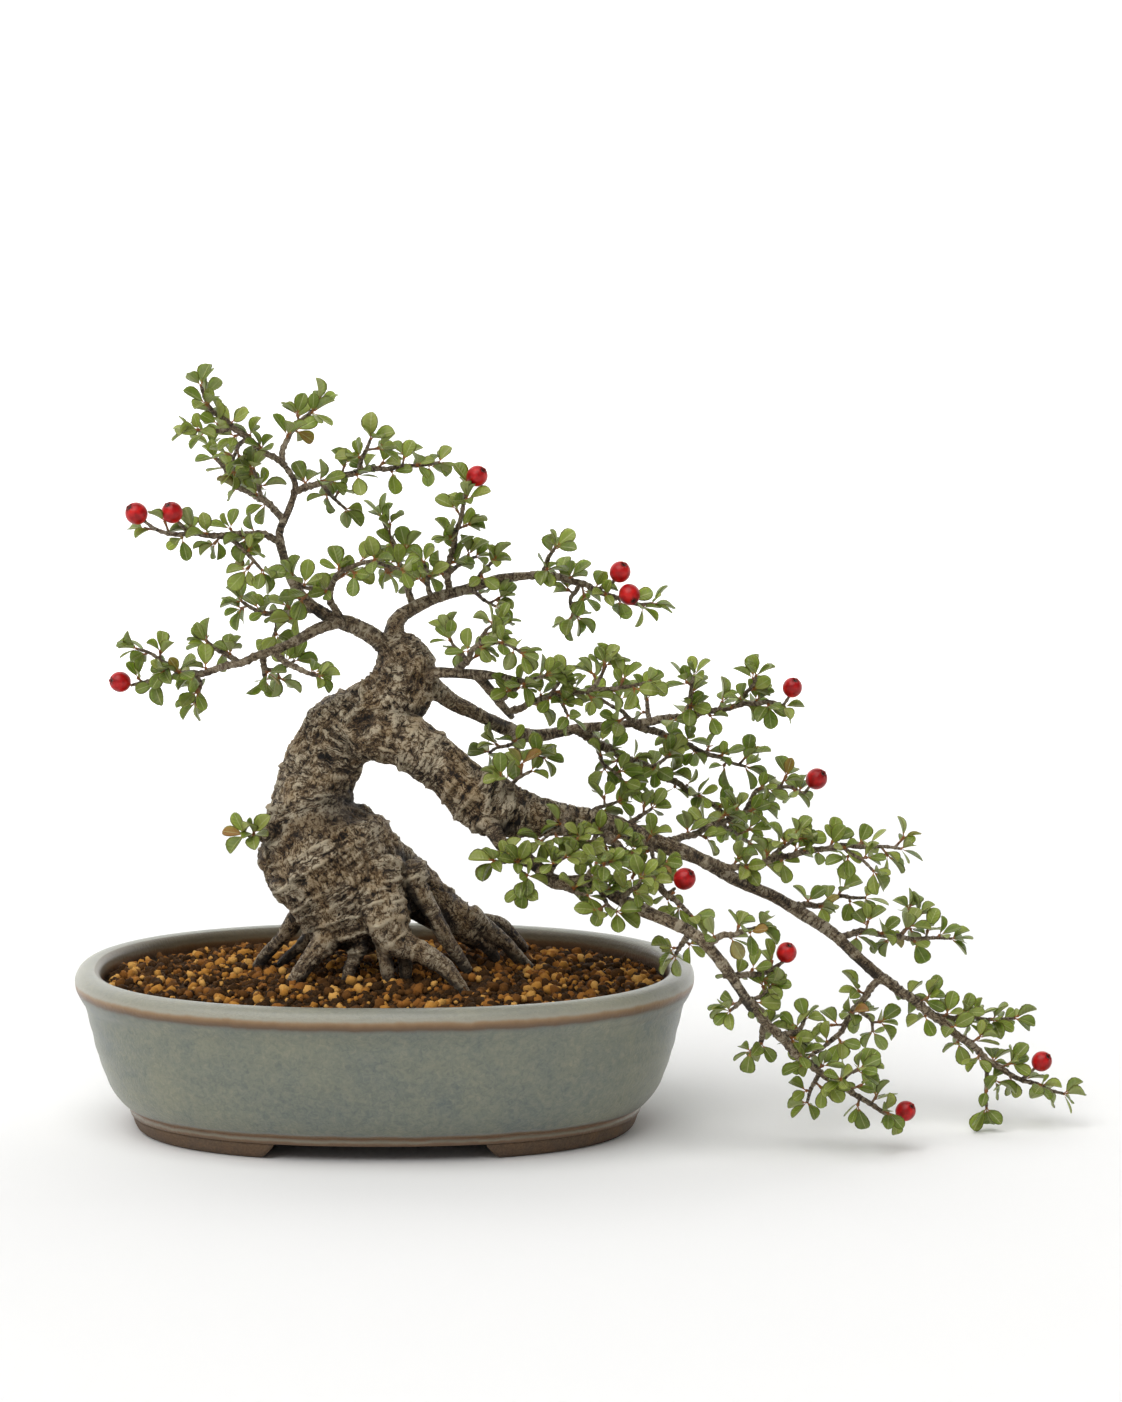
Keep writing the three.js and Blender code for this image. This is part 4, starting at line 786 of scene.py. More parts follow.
def makeTrunk(material):
    # tubes along every stretch are fused by a voxel skin, whose points then go out along its normals by the
    # relief's height
    paths = [path for stretches in woodPaths.values() for path in stretches]
    rough = makeObject("trunk_and_limbs", merge([tube(path, 1.5, 28) for path in paths]), material)
    fuse = rough.modifiers.new("fuse", "REMESH")
    fuse.mode, fuse.voxel_size, fuse.use_smooth_shade = "VOXEL", barkSpec["voxel"] / 1000, True
    soften = rough.modifiers.new("soften", "SMOOTH")
    soften.factor, soften.iterations = 0.5, 4
    graph = bpy.context.evaluated_depsgraph_get()
    mesh = bpy.data.meshes.new_from_object(rough.evaluated_get(graph))
    rough.modifiers.clear()
    old, rough.data = rough.data, mesh
    bpy.data.meshes.remove(old)
    mesh.name = "trunk_and_limbs"
    count = len(mesh.vertices)
    points, normals = np.zeros(count * 3, np.float32), np.zeros(count * 3, np.float32)
    mesh.vertices.foreach_get("co", points)
    mesh.vertices.foreach_get("normal", normals)
    points = points.reshape(-1, 3).astype(float) * 1000 - potMiddle
    wood = sampleWood(paths)
    grain, thick = grainOf(points, wood)
    # painted shade: how closely other wood or the soil stands before each point
    closed = shadeFromNearWood(points, normals.reshape(-1, 3), wood)
    height, relief, lumps = barkRelief(points, grain, thick)
    points = points + normals.reshape(-1, 3) * height[:, None]
    mesh.vertices.foreach_set("co", ((points + potMiddle) / 1000).astype(np.float32).ravel())
    mesh.polygons.foreach_set("use_smooth", np.ones(len(mesh.polygons), bool))
    shown = np.clip(0.5 + 0.32 * relief + 0.2 * lumps, 0, 1)
    addFields(mesh, {"grain": grain, "thick": thick, "closed": closed, "relief": shown})
    if not mesh.materials:
        mesh.materials.append(material)
    mesh.update()
    return rough


def zigzag(path, number):  # the path bends a little to alternate sides at each bud, as twigs grow
    samples = smoothPath(path, 4.4)[0]
    if len(samples) < 4:
        return [tuple(row) for row in samples]
    side, up = frameAlong(samples[:, :3])[1:]
    sign = np.where(np.arange(len(samples)) % 2, 1.0, -1.0) * 0.34
    sign[[0, -1]] = 0
    turn = 1.3 * number + 0.8 * np.arange(len(samples))
    samples[:, :3] += sign[:, None] * (np.cos(turn)[:, None] * side + np.sin(turn)[:, None] * up)
    return [tuple(row) for row in samples]


def twigShape(seed):  # small swellings every few millimetres, like the scars of old leaf buds
    def shape(along, angle, radius):
        wave = np.sin(along * 1.43 + seed) ** 8
        return radius * (0.3 * wave + 0.14 * np.sin(3 * angle + along * 1.3) * np.sin(along * 0.9 + seed))
    return shape


def makeTwigs(buds, material):
    parts = []
    for number, (_, path) in enumerate(twig for twigs in sprayTwigs.values() for twig in twigs):
        thin = [(x, y, z, max(r, 0.45)) for x, y, z, r in zigzag(path, number)]
        parts.append(tube(thin, 0.8, 10, twigShape(number)))
        parts[-1]["fields"]["grain"][:, 0] += 53.0 * number
        parts[-1]["fields"]["fresh"] = np.zeros(len(parts[-1]["points"]))
    spurs = makeSpurs(buds)
    thick = np.full(len(spurs["points"]), 0.5)
    spurs["fields"] = {"grain": spurs["points"], "thick": thick, "fresh": spurs["fresh"]}
    twigs = merge(parts + [spurs])
    grain = twigs["fields"]["grain"]
    lumps = fractal(twigs["points"] / 2.2, 2, 83) - 0.5
    relief = 0.5 * ridges(grain / (1.3, 2.5, 2.5), 2, 81) + 0.6 * lumps
    twigs["fields"]["relief"] = np.clip(0.5 + 0.4 * relief, 0, 1)
    return makeObject("twigs", twigs, material)


bark = barkMaterial()
trunk = makeTrunk(bark)
finishPiece(trunk, "bark", *woodPaths)


leafSpec = {
    "length": 7.6,  # mm with its stalk
    "spacing": 4.3,  # mm between buds along a twig
    "rosette": (2, 3, 3, 4),  # leaves at a spur's tip, picked at random
    "crown": 4,  # leaves at each twig's end
    "spur": (1.0, 4.6),  # mm, shortest and longest spur
    "turn": 2.39996,  # radians from one bud to the next around a twig
    "stalk": 0.14,  # share of the length
    "width": 0.325,  # half width over length
    "fold": 0.58,  # how steeply each half rises from the midrib
    "arch": 0.12,  # how far the tip bends down, over the length
    "thick": 0.024,  # half thickness over length
    "long": 2.2,  # mm, a longer spur has one more leaf halfway
    "young": 0.012,  # share of leaves that are still russet
    "clear": 5.2,  # mm, no leaf's middle comes nearer to a berry's
}


def leafTemplate(spec=leafSpec):
    # u runs across from edge to edge and v from stalk to tip; half width goes with t^0.9 (1 - t)^0.5 over the
    # blade, which folds up by |u| and arches down by t squared; the underside shares the edge points
    u = np.array([-1, -0.6, 0, 0.6, 1])
    v = np.array([0, spec["stalk"], 0.22, 0.36, 0.54, 0.72, 0.86, 0.96, 1.0])
    t = np.clip((v - spec["stalk"]) / (1 - spec["stalk"]), 0, 1)
    half = np.maximum(spec["width"] * t ** 0.9 * (1 - t) ** 0.5 / 0.4015, 0.024)
    x = np.broadcast_to(v[:, None], (len(v), 5)).copy()
    y = half[:, None] * u[None, :]
    lift = spec["fold"] * np.abs(y) ** 1.1 - spec["arch"] * t[:, None] ** 2 * np.ones(5)
    thick = spec["thick"] * (1 - np.abs(u)[None, :] ** 2) * np.ones((len(v), 1))
    top = np.stack([x, y, lift + thick], -1)
    under = np.stack([x, y, lift - thick], -1)[1:-1, 1:-1]
    points = np.concatenate([top.reshape(-1, 3), under.reshape(-1, 3)])
    rows, cols = len(v), 5
    number = np.arange(rows * cols).reshape(rows, cols)
    below = number.copy()
    below[1:-1, 1:-1] = rows * cols + np.arange(under.shape[0] * 3).reshape(-1, 3)
    i, j = np.meshgrid(np.arange(rows - 1), np.arange(cols - 1), indexing="ij")
    faces = [np.stack([n[i, j], n[i + 1, j], n[i + 1, j + 1], n[i, j + 1]], -1).reshape(-1, 4)
             for n in (number, below)]
    across = np.concatenate([np.tile(u, rows), np.tile(u[1:-1], rows - 2)])
    along = np.concatenate([np.repeat(v, 5), np.repeat(v[1:-1], 3)])
    side = np.concatenate([np.ones(rows * cols), np.zeros(under.shape[0] * 3)])
    return {"points": points, "quads": np.concatenate([faces[0][:, ::-1], faces[1]]),
            "blade": np.stack([across, along, side], -1)}


def budPlaces(names, spec=leafSpec):
    # buds stand at even steps beyond each twig's bare part, each a golden turn further round, leaning up and
    # along; a row holds the spur's base, its direction, its length, and how many leaves it carries
    rows = []
    for number, (start, path) in enumerate(twig for name in names for twig in sprayTwigs[name]):
        if start >= 1:
            continue
        samples, along = smoothPath(zigzag(path, number), 0.4)
        tangent, side, up = frameAlong(samples[:, :3])
        reach = along[-1]
        stops = np.append(np.arange(start * reach, reach - 1.8, spec["spacing"]), reach)
        k = np.clip(np.searchsorted(along, stops), 0, len(along) - 1)
        turn = spec["turn"] * (7 * number + np.arange(len(stops)))
        out = np.cos(turn)[:, None] * side[k] + np.sin(turn)[:, None] * up[k]
        out = unit(out * (1, 0.8, 1) + (0, 0, 0.3))
        direction = unit(0.55 * tangent[k] + out)
        direction[-1] = tangent[-1]
        least, most = spec["spur"]
        size = least + (most - least) * random.random(len(stops)) ** 1.7
        size[-1] = 0.5
        leafCount = random.choice(spec["rosette"], len(stops))
        leafCount[-1] = spec["crown"]
        rows.append(np.column_stack([samples[k, :3], direction, size, leafCount]))
    return np.concatenate(rows)


def makeSpurs(buds):
    # each spur is a short tapered peg: three rings of six about its direction, and a point at each end
    base, along, size = buds[:, None, None, :3], buds[:, None, None, 3:6], buds[:, 6][:, None, None, None]
    side = unit(np.cross(along, (0.31, 0.87, 0.38)))
    up = np.cross(along, side)
    angle = np.linspace(0, 2 * math.pi, 6, endpoint=False)[None, None, :, None]
    step = np.array([0, 0.55, 1.0])[None, :, None, None]
    radius = np.array([0.55, 0.38, 0.62])[None, :, None, None]
    rings = base + along * step * size + radius * (np.cos(angle) * side + np.sin(angle) * up)
    ends = np.concatenate([base[:, 0], base[:, 0] + along[:, 0] * (size[:, 0] + 0.45)], axis=1)
    count = len(buds)
    points = np.concatenate([rings.reshape(count, 18, 3), ends], axis=1)
    quads, tris = ringFaces(3, 6)
    offset = (np.arange(count) * 20)[:, None, None]
    fresh = np.tile(np.concatenate([np.repeat([0, 0.5, 1.0], 6), [0, 1.0]]), count)
    return {"points": points.reshape(-1, 3), "quads": (quads[None] + offset).reshape(-1, 4),
            "tris": (tris[None] + offset).reshape(-1, 3), "fresh": fresh}


def makeLeaves(name, buds, material, spec=leafSpec):
    # leaves fan out evenly round each spur's tip, and a long spur has one more halfway; a face turns mostly
    # up, with a random lean, and leaves too near a berry are left out
    template = leafTemplate()
    extra = (buds[:, 6] > spec["long"]).astype(int)
    carried = buds[:, 7].astype(int) + extra
    owner = np.repeat(np.arange(len(buds)), carried)
    order = np.arange(len(owner)) - np.repeat(np.cumsum(carried) - carried, carried)
    halfway = order >= buds[owner, 7]
    bud = buds[owner]
    spur = bud[:, 3:6]
    count = len(owner)
    side = unit(np.cross(spur, (0.31, 0.87, 0.38)))
    up = np.cross(spur, side)
    turn = 2 * math.pi * order / carried[owner] + random.uniform(0, 6.28, len(buds))[owner]
    turn = turn + random.uniform(-0.3, 0.3, count)
    spread = random.uniform(0.6, 1.5, count)[:, None]
    out = np.cos(turn)[:, None] * side + np.sin(turn)[:, None] * up
    along = unit(spur + spread * out * (1, 0.8, 1) + (0, 0, 0.1))
    lean = [random.uniform(low, high, count) for low, high in ((-0.6, 0.6), (-1.0, 0.3), (0.3, 1.3))]
    face = unit(np.stack(lean, -1) + 0.3 * spur)
    across = unit(np.cross(face, along))
    normal = np.cross(along, across)
    length = spec["length"] * random.uniform(0.74, 1.12, count)
    wide = random.uniform(0.84, 1.08, count)[:, None, None]
    curl = random.uniform(0.4, 1.8, count)[:, None, None]
    base = bud[:, :3] + spur * bud[:, 6:7] * np.where(halfway, 0.5, 1.0)[:, None]
    middle = base + 0.55 * length[:, None] * along
    away = np.linalg.norm(middle[:, None] - np.array(berryCentres, float)[None], axis=2).min(axis=1)
    keep = away > spec["clear"]
    p = template["points"][None]
    local = along[:, None] * p[..., :1] + across[:, None] * p[..., 1:2] * wide
    local = local + normal[:, None] * p[..., 2:] * curl
    points = (base[:, None] + length[:, None, None] * local)[keep]
    count = len(points)
    size = template["points"].shape[0]
    quads = template["quads"][None] + (np.arange(count) * size)[:, None, None]
    tint = random.uniform(0, 1, count)
    young = np.where(random.uniform(0, 1, count) < spec["young"], random.uniform(0.5, 1, count), 0)
    part = {"points": points.reshape(-1, 3), "quads": quads.reshape(-1, 4),
            "fields": {"blade": np.tile(template["blade"], (count, 1)), "tint": np.repeat(tint, size),
                       "young": np.repeat(young, size)}}
    print(f"{name}: {count} leaves on {len(buds)} buds")
    return makeObject(name, part, material)


def leafMaterial():
    # Small evergreen leaf, grown: a leathery green top with a pale midrib and veins, brown on its thin edge,
    # paler underneath, russet while young; light glows through it a little
    material, tree, shader = newMaterial("cotoneaster_leaf")
    blade = node(tree, "Attribute", {"attribute_name": "blade"})
    tint = node(tree, "Attribute", {"attribute_name": "tint"})
    young = node(tree, "Attribute", {"attribute_name": "young"})
    split = node(tree, "SeparateXYZ", {}, {"Vector": (blade, "Vector")})
    across = node(tree, "Math", {"operation": "ABSOLUTE"}, {0: (split, "X")})
    place = node(tree, "TexCoord")
    size = node(tree, "Mapping", {"Scale": (1000, 1000, 1000)}, {"Vector": (place, "Object")})
    blotch = node(tree, "TexNoise", {"Scale": 0.35, "Detail": 3}, {"Vector": (size, "Vector")})
    green = node(tree, "ValToRGB", {"stops": [
        (0.0, "#57661e"), (0.35, "#6d7a28"), (0.7, "#848d38"), (1.0, "#9ea253")]}, {"Fac": (tint, "Fac")})
    shade = node(tree, "ValToRGB", {"stops": [(0.35, "#5e6c26"), (0.65, "#8a9348")]},
                 {"Fac": (blotch, "Fac")})
    top = node(tree, "Mix", {"data_type": "RGBA", 0: 0.35}, {6: (green, "Color"), 7: (shade, "Color")})
    russet = node(tree, "Mix", {"data_type": "RGBA", 7: "#96602c"}, {0: (young, "Fac"), 6: (top, 2)})
    under = node(tree, "Mix", {"data_type": "RGBA", 0: 0.6, 7: "#9ba06c"}, {6: (russet, 2)})
    faced = node(tree, "Mix", {"data_type": "RGBA"}, {0: (split, "Z"), 6: (under, 2), 7: (russet, 2)})
    rib = node(tree, "ValToRGB", {"stops": [(0.0, "#e0e0e0"), (0.07, "#606060"), (0.15, "#000000")]},
               {"Fac": (across, 0)})
    ribbed = node(tree, "Mix", {"data_type": "RGBA", 7: "#b6b97c"}, {0: (rib, "Color"), 6: (faced, 2)})
    slant = node(tree, "Math", {"operation": "MULTIPLY_ADD", 1: -0.22}, {0: (across, 0), 2: (split, "Y")})
    veins = node(tree, "Math", {"operation": "MULTIPLY", 1: 44}, {0: (slant, 0)})
    wave = node(tree, "Math", {"operation": "SINE"}, {0: (veins, 0)})
    vein = node(tree, "ValToRGB", {"stops": [(0.72, "#000000"), (1.0, "#5a5a5a")]}, {"Fac": (wave, 0)})
    veined = node(tree, "Mix", {"data_type": "RGBA", 7: "#8c9250"}, {0: (vein, "Color"), 6: (ribbed, 2)})
    edge = node(tree, "ValToRGB", {"stops": [(0.76, "#000000"), (0.95, "#f0f0f0")]}, {"Fac": (across, 0)})
    rim = node(tree, "Mix", {"data_type": "RGBA", 7: "#43361a"}, {0: (edge, "Color"), 6: (veined, 2)})
    stem = node(tree, "ValToRGB", {"stops": [(0.15, "#ffffff"), (0.26, "#000000")]},
                {"Fac": (split, "Y")})
    colour = node(tree, "Mix", {"data_type": "RGBA", 7: "#a2622c"}, {0: (stem, "Color"), 6: (rim, 2)})
    bump = node(tree, "Bump", {"Strength": 0.25, "Distance": 0.0002}, {"Height": (wave, 0)})
    fill(tree, shader,
         {"Roughness": 0.42, "Specular IOR Level": 0.4, "Subsurface Weight": 0.3,
          "Subsurface Radius": (0.7, 1.0, 0.3), "Subsurface Scale": 0.001},
         {"Base Color": (colour, 2), "Normal": (bump, "Normal")})
    return material


# two pieces, as one would be too heavy: the sprays of the crown and of the left come first in the list
leafGroups = {"leaves_crown": list(sprayTwigs)[:14], "leaves_cascade": list(sprayTwigs)[14:]}
budGroups = {name: budPlaces(sprays) for name, sprays in leafGroups.items()}
twigs = makeTwigs(np.concatenate(list(budGroups.values())), bark)
finishPiece(twigs, "leaf", *sprayTwigs)
leafSkin = leafMaterial()
for name, buds in budGroups.items():
    finishPiece(makeLeaves(name, buds, leafSkin), "leaf", *leafGroups[name])


berrySpec = {
    "radius": 3.35,  # mm
    "longer": 1.06,  # length over width
    "around": 28,  # points round the berry
    "rows": 18,  # rings from end to end
}


def makeBerries(material, spec=berrySpec):
    # a ball a little longer than wide, with a shallow dimple at the stalk and a small crown of five dry teeth
    # round a dimple at the other end: radius swells by 5-fold waves there
    ends = [np.array(path[-1][:3], float) for twigs in sprayTwigs.values() for _, path in twigs]
    polar = np.linspace(0, math.pi, spec["rows"] + 2)[1:-1]
    angle = np.linspace(0, 2 * math.pi, spec["around"], endpoint=False)
    theta, phi = np.meshgrid(polar, angle, indexing="ij")
    dent = 1 - 0.16 * np.exp(-(theta / 0.3) ** 2) - 0.2 * np.exp(-((math.pi - theta) / 0.28) ** 2)
    teeth = np.exp(-((math.pi - theta - 0.36) / 0.1) ** 2) * (0.09 + 0.06 * np.cos(5 * phi))
    size = dent + teeth
    flat = size * np.sin(theta)
    grid = np.stack([flat * np.cos(phi), flat * np.sin(phi), spec["longer"] * size * np.cos(theta)], -1)
    local = np.concatenate([grid.reshape(-1, 3), [[0, 0, 0.88], [0, 0, -0.84]]])
    crown = np.concatenate([np.exp(-((math.pi - theta) / 0.34) ** 4).ravel(), [0, 1]])
    quads, tris = ringFaces(*theta.shape)
    quads, tris = quads[:, [0, 3, 2, 1]], tris[:, [0, 2, 1]]  # rings run downwards, so faces turn over
    parts = []
    for centre in np.array(berryCentres, float):
        stalk = min(ends, key=lambda e: np.linalg.norm(e - centre))
        up = unit(unit(stalk - centre) + (0, 0.6, 0))
        side = unit(np.cross(up, (0.3, 0.8, 0.5)))
        turned = local @ np.stack([side, np.cross(up, side), up])
        parts.append({"points": centre + spec["radius"] * random.uniform(0.94, 1.05) * turned, "quads": quads,
                      "tris": tris, "fields": {"crown": crown}})
    return makeObject("berries", merge(parts), material)


def berryMaterial():
    # Ripe berry skin, grown: waxy scarlet, deeper in clouds, with a dry brown crown
    material, tree, shader = newMaterial("berry_skin_ripe")
    crown = node(tree, "Attribute", {"attribute_name": "crown"})
    place = node(tree, "TexCoord")
    size = node(tree, "Mapping", {"Scale": (1000, 1000, 1000)}, {"Vector": (place, "Object")})
    cloud = node(tree, "TexNoise", {"Scale": 0.4, "Detail": 3}, {"Vector": (size, "Vector")})
    skin = node(tree, "ValToRGB", {"stops": [(0.35, "#8c0b0d"), (0.55, "#b61417"), (0.7, "#cc201c")]},
                {"Fac": (cloud, "Fac")})
    colour = node(tree, "Mix", {"data_type": "RGBA", 7: "#2a160e"}, {0: (crown, "Fac"), 6: (skin, "Color")})
    fill(tree, shader,
         {"Roughness": 0.3, "Specular IOR Level": 0.32, "Subsurface Weight": 0.15,
          "Subsurface Radius": (1.0, 0.2, 0.1), "Subsurface Scale": 0.001},
         {"Base Color": (colour, 2)})
    return material


berries = makeBerries(berryMaterial())
finishPiece(berries, "berry", *[f"berry_{i + 1}" for i in range(len(berryCentres))])


soilSpec = {
    "half": 91.0,  # mm, half length where the soil meets the wall
    "edge": 46.8,  # height at the wall
    "crown": 50.2,  # height under the trunk
    "underside": (80.0, 16.0),  # half length and height of the bed's flat underside
    "sunk": 1.3,  # mm, how far the bed's top lies below the heights above, so that granules cover it
    "spacing": 2.38,  # between granules
    "radius": (0.65, 1.95),  # mm, smallest and largest granule
    "shift": 0.45,  # how far a granule may stray from its place, over the spacing
}


def soilHeight(x, y, spec=soilSpec):  # highest in the middle, falling with the square of the way to the wall
    reach = np.clip(ovalReach(x, y, spec["half"]), 0, 1)
    waves = 1.6 * (fractal(np.stack([x / 14, y / 14, 0 * x], -1), 2, 91) - 0.5)
    return spec["edge"] + (spec["crown"] - spec["edge"]) * (1 - reach ** 2) + waves


def makeBed(material, spec=soilSpec):  # a closed slab: rings of the oval shrink to a point above and below
    angle = np.linspace(0, 2 * math.pi, 120, endpoint=False)
    share = np.linspace(1, 0.04, 40)[:, None]
    x, y = (share * reach for reach in oval(spec["half"], angle))
    lowHalf, lowHeight = spec["underside"]
    top = np.stack([x, y, soilHeight(x, y) - spec["sunk"]], -1)
    low = np.stack([*oval(lowHalf, angle), np.full(len(angle), lowHeight)], -1)
    rings = np.concatenate([low[None], top])
    quads, tris = ringFaces(*rings.shape[:2])
    ends = np.array([[0, 0, lowHeight], [0, 0, spec["crown"] - spec["sunk"]]])
    points = np.concatenate([rings.reshape(-1, 3), ends])
    # painted shade: tint 0 gives the bed the near-black end of the soil's colours, seen only in the gaps
    # between granules
    bed = {"points": points, "quads": quads, "tris": tris, "fields": {"tint": np.zeros(len(points))}}
    return makeObject("soil_bed", bed, material)


def lumpTemplate():
    # the 26 outer points of a 3 by 3 by 3 block drawn most of the way to a ball, four squares to each side
    block = np.array([p for p in np.ndindex(3, 3, 3) if 0 in p or 2 in p]) - 1
    index = {tuple(p): i for i, p in enumerate(block)}
    quads = []
    for axis in range(3):
        for sign in (-1, 1):
            for i in (-1, 0):
                for j in (-1, 0):
                    ring = [(i, j), (i + 1, j), (i + 1, j + 1), (i, j + 1)]
                    corners = [tuple(np.insert(c, axis, sign)) for c in ring]
                    order = corners if (sign > 0) == (axis != 1) else corners[::-1]
                    quads.append([index[c] for c in order])
    points = 0.78 * unit(block.astype(float)) + 0.22 * block
    return points, np.array(quads)


def randomTurns(count):  # rotation matrices from random unit quaternions
    w, x, y, z = unit(random.normal(size=(count, 4))).T
    return np.stack([1 - 2 * (y * y + z * z), 2 * (x * y - z * w), 2 * (x * z + y * w),
                     2 * (x * y + z * w), 1 - 2 * (x * x + z * z), 2 * (y * z - x * w),
                     2 * (x * z - y * w), 2 * (y * z + x * w), 1 - 2 * (x * x + y * y)], -1).reshape(-1, 3, 3)


def makeGranules(material, spec=soilSpec):
    # a hexagonal grid, each point shifted at random, one lump on each: stretched, roughened and turned
    template, quads = lumpTemplate()
    step = spec["spacing"]
    i, j = np.meshgrid(np.arange(-50, 51), np.arange(-50, 51), indexing="ij")
    x = (step * (i + 0.5 * (j % 2))).ravel()
    y = (step * 0.866 * j).ravel()
    stray = spec["shift"]
    x = x + random.uniform(-stray, stray, x.shape) * step
    y = y + random.uniform(-stray, stray, y.shape) * step
    keep = ovalReach(x, y, spec["half"] - 0.8) < 1
    x, y = x[keep], y[keep]
    count = len(x)
    least, most = spec["radius"]
    radius = least + (most - least) * random.random(count) ** 2.2
    rise = random.uniform(-1.1, 0.9, count)  # painted shade: granules set lower are darker, as in the shaded gaps between them
    centre = np.stack([x, y, soilHeight(x, y) - 0.9 + rise], -1)
    stretch = random.uniform(0.68, 1.28, (count, 1, 3))
    rough = 1 + 0.2 * (random.random((count, len(template), 1)) - 0.5) * 2
    local = template[None] * stretch * rough * radius[:, None, None]
    points = centre[:, None, :] + np.einsum("nij,nkj->nki", randomTurns(count), local)
    faces = quads[None] + (np.arange(count) * len(template))[:, None, None]
    # painted shade: the tint falls with a granule's height, plus a random share of its own
    tint = np.clip(0.4 + 1.5 * (0.55 * random.random(count) + 0.225 * (rise + 1.1) - 0.5), 0, 1)
    tint = np.repeat(tint, len(template))
    print(f"granules: {count}")
    return makeObject("soil_granules", {"points": points.reshape(-1, 3), "quads": faces.reshape(-1, 4),
                                        "fields": {"tint": tint}}, material)


def soilMaterial():
    # Fired red-ball clay (akadama), crushed and sieved: dry matt grains, ochre to dark brown, pitted; its
    # near-black end is painted shade for the bed and the lowest granules
    material, tree, shader = newMaterial("akadama_clay_crushed")
    tint = node(tree, "Attribute", {"attribute_name": "tint"})
    place = node(tree, "TexCoord")
    size = node(tree, "Mapping", {"Scale": (1000, 1000, 1000)}, {"Vector": (place, "Object")})
    pits = node(tree, "TexNoise", {"Scale": 1.3, "Detail": 5, "Roughness": 0.7},
                {"Vector": (size, "Vector")})
    grains = node(tree, "ValToRGB", {"stops": [
        (0.0, "#0b0603"), (0.35, "#291809"), (0.54, "#5c3a17"), (0.7, "#986128"), (0.86, "#c68a3a"),
        (1.0, "#e3ad5c")]}, {"Fac": (tint, "Fac")})
    dust = node(tree, "ValToRGB", {"stops": [(0.35, "#3c2814"), (0.55, "#7a5428"), (0.75, "#bb8c4c")]},
                {"Fac": (pits, "Fac")})
    colour = node(tree, "Mix", {"data_type": "RGBA", 0: 0.2}, {6: (grains, "Color"), 7: (dust, "Color")})
    bump = node(tree, "Bump", {"Strength": 0.8, "Distance": 0.0004}, {"Height": (pits, "Fac")})
    fill(tree, shader, {"Roughness": 0.95, "Specular IOR Level": 0.2},
         {"Base Color": (colour, 2), "Normal": (bump, "Normal")})
    return material


akadama = soilMaterial()
bed = makeBed(akadama)
finishPiece(bed, "soil", "soil")
granules = makeGranules(akadama)
finishPiece(granules, "soil", "soil")


def plainMaterial(name, code, roughness, metallic):  # an even finish whose roughness drifts a little
    material, tree, shader = newMaterial(name)
    place = node(tree, "TexCoord")
    size = node(tree, "Mapping", {"Scale": (1000, 1000, 1000)}, {"Vector": (place, "Object")})
    grain = node(tree, "TexNoise", {"Scale": 2.5, "Detail": 3}, {"Vector": (size, "Vector")})
    spread = node(tree, "MapRange", {"To Min": roughness - 0.08, "To Max": roughness + 0.08},
                  {"Value": (grain, "Fac")})
    fill(tree, shader, {"Base Color": code, "Metallic": metallic}, {"Roughness": (spread, 0)})
    return material


plastic = plainMaterial("polyethylene_mesh_moulded", "#2b2b2a", 0.55, 0.0)  # dull black, waxy
wire = plainMaterial("aluminium_wire_anodised", "#9a6a45", 0.35, 1.0)  # coppery brown with a soft shine
for side in ("left", "right"):
    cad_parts[f"drain_screen_{side}"].data.materials.clear()
    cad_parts[f"drain_screen_{side}"].data.materials.append(plastic)
    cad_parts[f"screen_clip_{side}"].data.materials.clear()
    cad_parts[f"screen_clip_{side}"].data.materials.append(wire)
print("drain screens and clips")


stageSpec = {
    "floor": "#f2f2f1",
    "world": 0.5,
    "glow": [(0.28, "#000000"), (0.6, "#3c3c3c"), (1.1, "#acacac")],  # the sheet's own light by metres away
    "target": (56.9, 0, 138),  # mm from the pot's middle
    "camera": (56.9, -1673, 376),
    "lens": 135,
    "sheet": (8000, 900, 700, 3200),  # mm: half width, depth behind the pot, radius of the bend, height
    "sun": (2.1, 60, "#fffefd", (-30, 58)),  # strength, degrees across, colour, degrees round and up
}


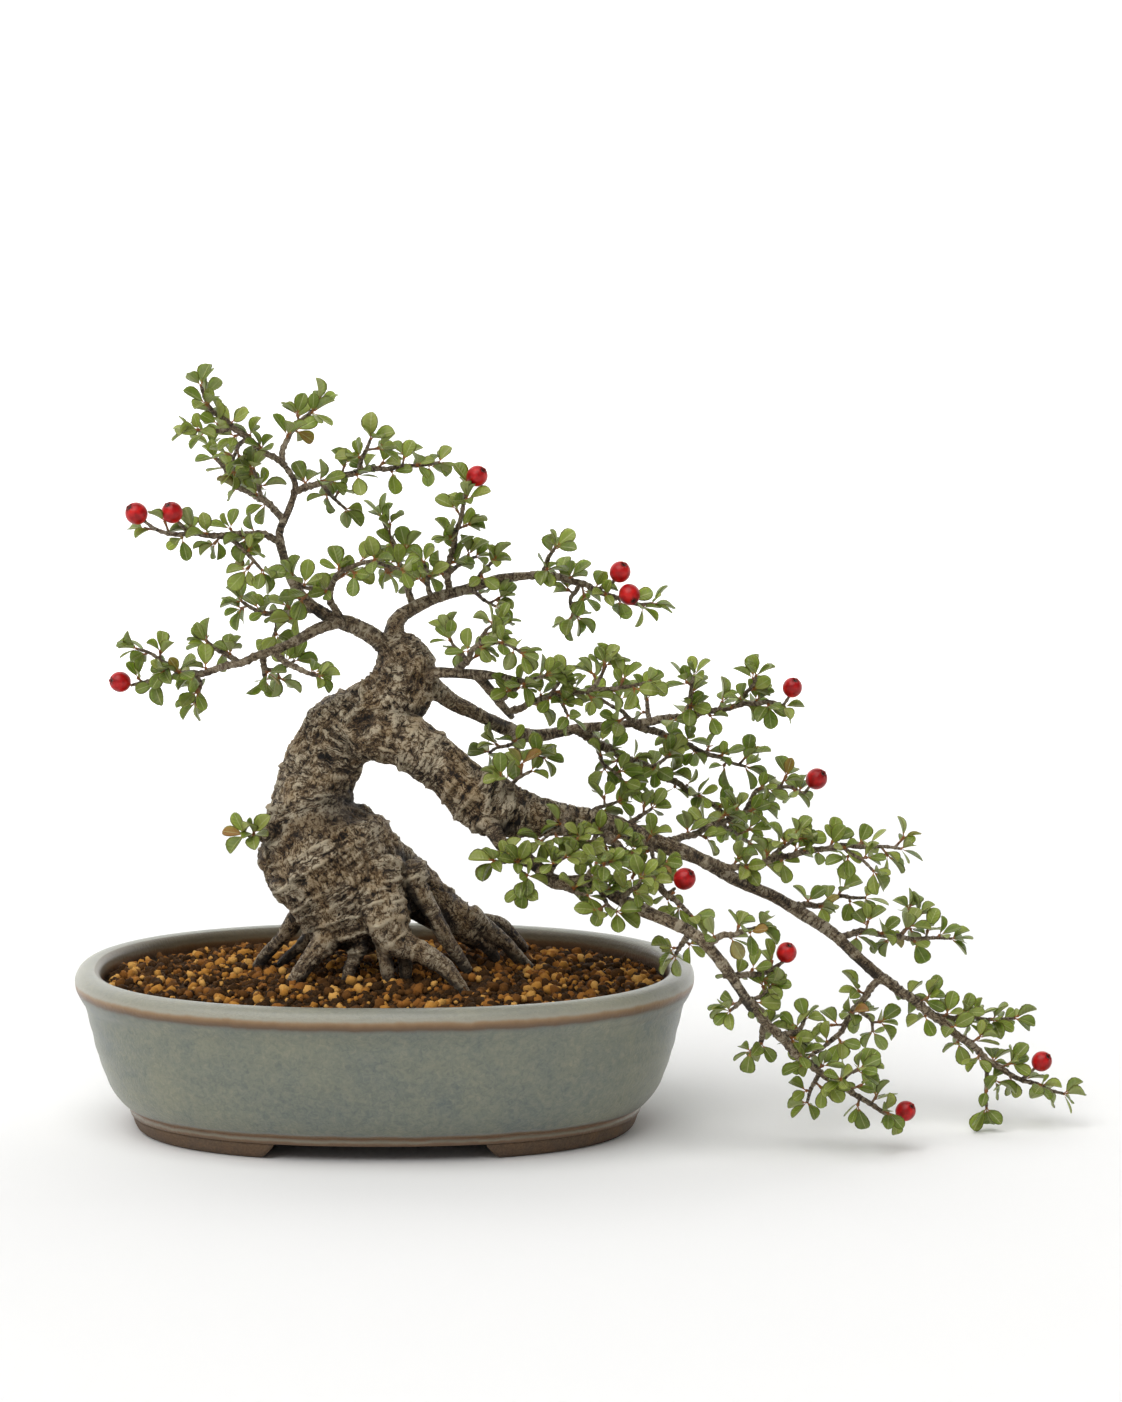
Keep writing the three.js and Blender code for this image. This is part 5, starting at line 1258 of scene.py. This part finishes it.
def makeStage(spec=stageSpec):  # a pale sheet that rises behind in a quarter round
    half, depth, radius, top = spec["sheet"]
    turns = np.linspace(0.1, math.pi / 2, 16)
    bend = [(depth + radius * math.sin(turn), radius - radius * math.cos(turn)) for turn in turns]
    run = np.array([(-half, 0), (depth, 0)] + bend + [(depth + radius, top)])
    points = np.array([[x, y, z] for y, z in run for x in (-half, half)], float)
    k = np.arange(len(run) - 1) * 2
    quads = np.stack([k, k + 1, k + 3, k + 2], 1)
    material, tree, shader = newMaterial("paper_backdrop_painted_glow")  # even white paper, no sheen, with a painted glow that grows with the distance, so the sheet near the pot stays darker
    place = node(tree, "TexCoord")
    away = node(tree, "VectorMath", {"operation": "LENGTH"}, {0: (place, "Object")})
    glow = node(tree, "ValToRGB", {"stops": spec["glow"]}, {"Fac": (away, "Value")})
    fill(tree, shader,
         {"Base Color": spec["floor"], "Roughness": 0.9, "Specular IOR Level": 0.1, "Emission Strength": 1.0},
         {"Emission Color": (glow, "Color")})
    floor = makeObject("floor", {"points": points, "quads": quads}, material)


def addSun(spec=stageSpec):  # a wide, soft sun; less than 0 round from the front is to the left
    strength, across, code, place = spec["sun"]
    data = bpy.data.lights.new("key", "SUN")
    data.energy, data.angle, data.color = strength, math.radians(across), linear(code)[:3]
    light = bpy.data.objects.new("key", data)
    bpy.context.scene.collection.objects.link(light)
    light.rotation_euler = (math.radians(90 - place[1]), 0, math.radians(place[0]))


def aim(obj, place, target):  # place and target in mm from the pot's middle
    obj.location = (np.array(place) + potMiddle) / 1000
    away = np.array(target, float) - place
    flat = math.hypot(away[0], away[1])
    obj.rotation_euler = (math.atan2(flat, -away[2]), 0, math.atan2(-away[0], away[1]))


def addCamera(spec=stageSpec):
    data = bpy.data.cameras.new("camera")
    data.lens, data.sensor_width, data.clip_end = spec["lens"], 36, 20
    camera = bpy.data.objects.new("camera", data)
    bpy.context.scene.collection.objects.link(camera)
    aim(camera, spec["camera"], spec["target"])
    bpy.context.scene.camera = camera


def addWorld(strength):  # soft light from all round, weaker from the right
    world = bpy.data.worlds.new("studio")
    world.use_nodes = True
    tree = world.node_tree
    place = node(tree, "TexCoord")
    split = node(tree, "SeparateXYZ", {}, {"Vector": (place, "Generated")})
    share = node(tree, "MapRange", {"From Min": -1.0, "From Max": 1.0}, {"Value": (split, "X")})
    sky = node(tree, "ValToRGB", {"stops": [(0.35, "#f7f8fa"), (0.9, "#7c7d7f")]},
               {"Fac": (share, "Result")})
    fill(tree, tree.nodes["Background"], {"Strength": strength}, {"Color": (sky, "Color")})
    bpy.context.scene.world = world


makeStage()
addWorld(stageSpec["world"])
addSun()
bpy.context.scene.view_settings.view_transform = "Standard"  # colours come out as they are set
addCamera()
print("floor, lights and camera")
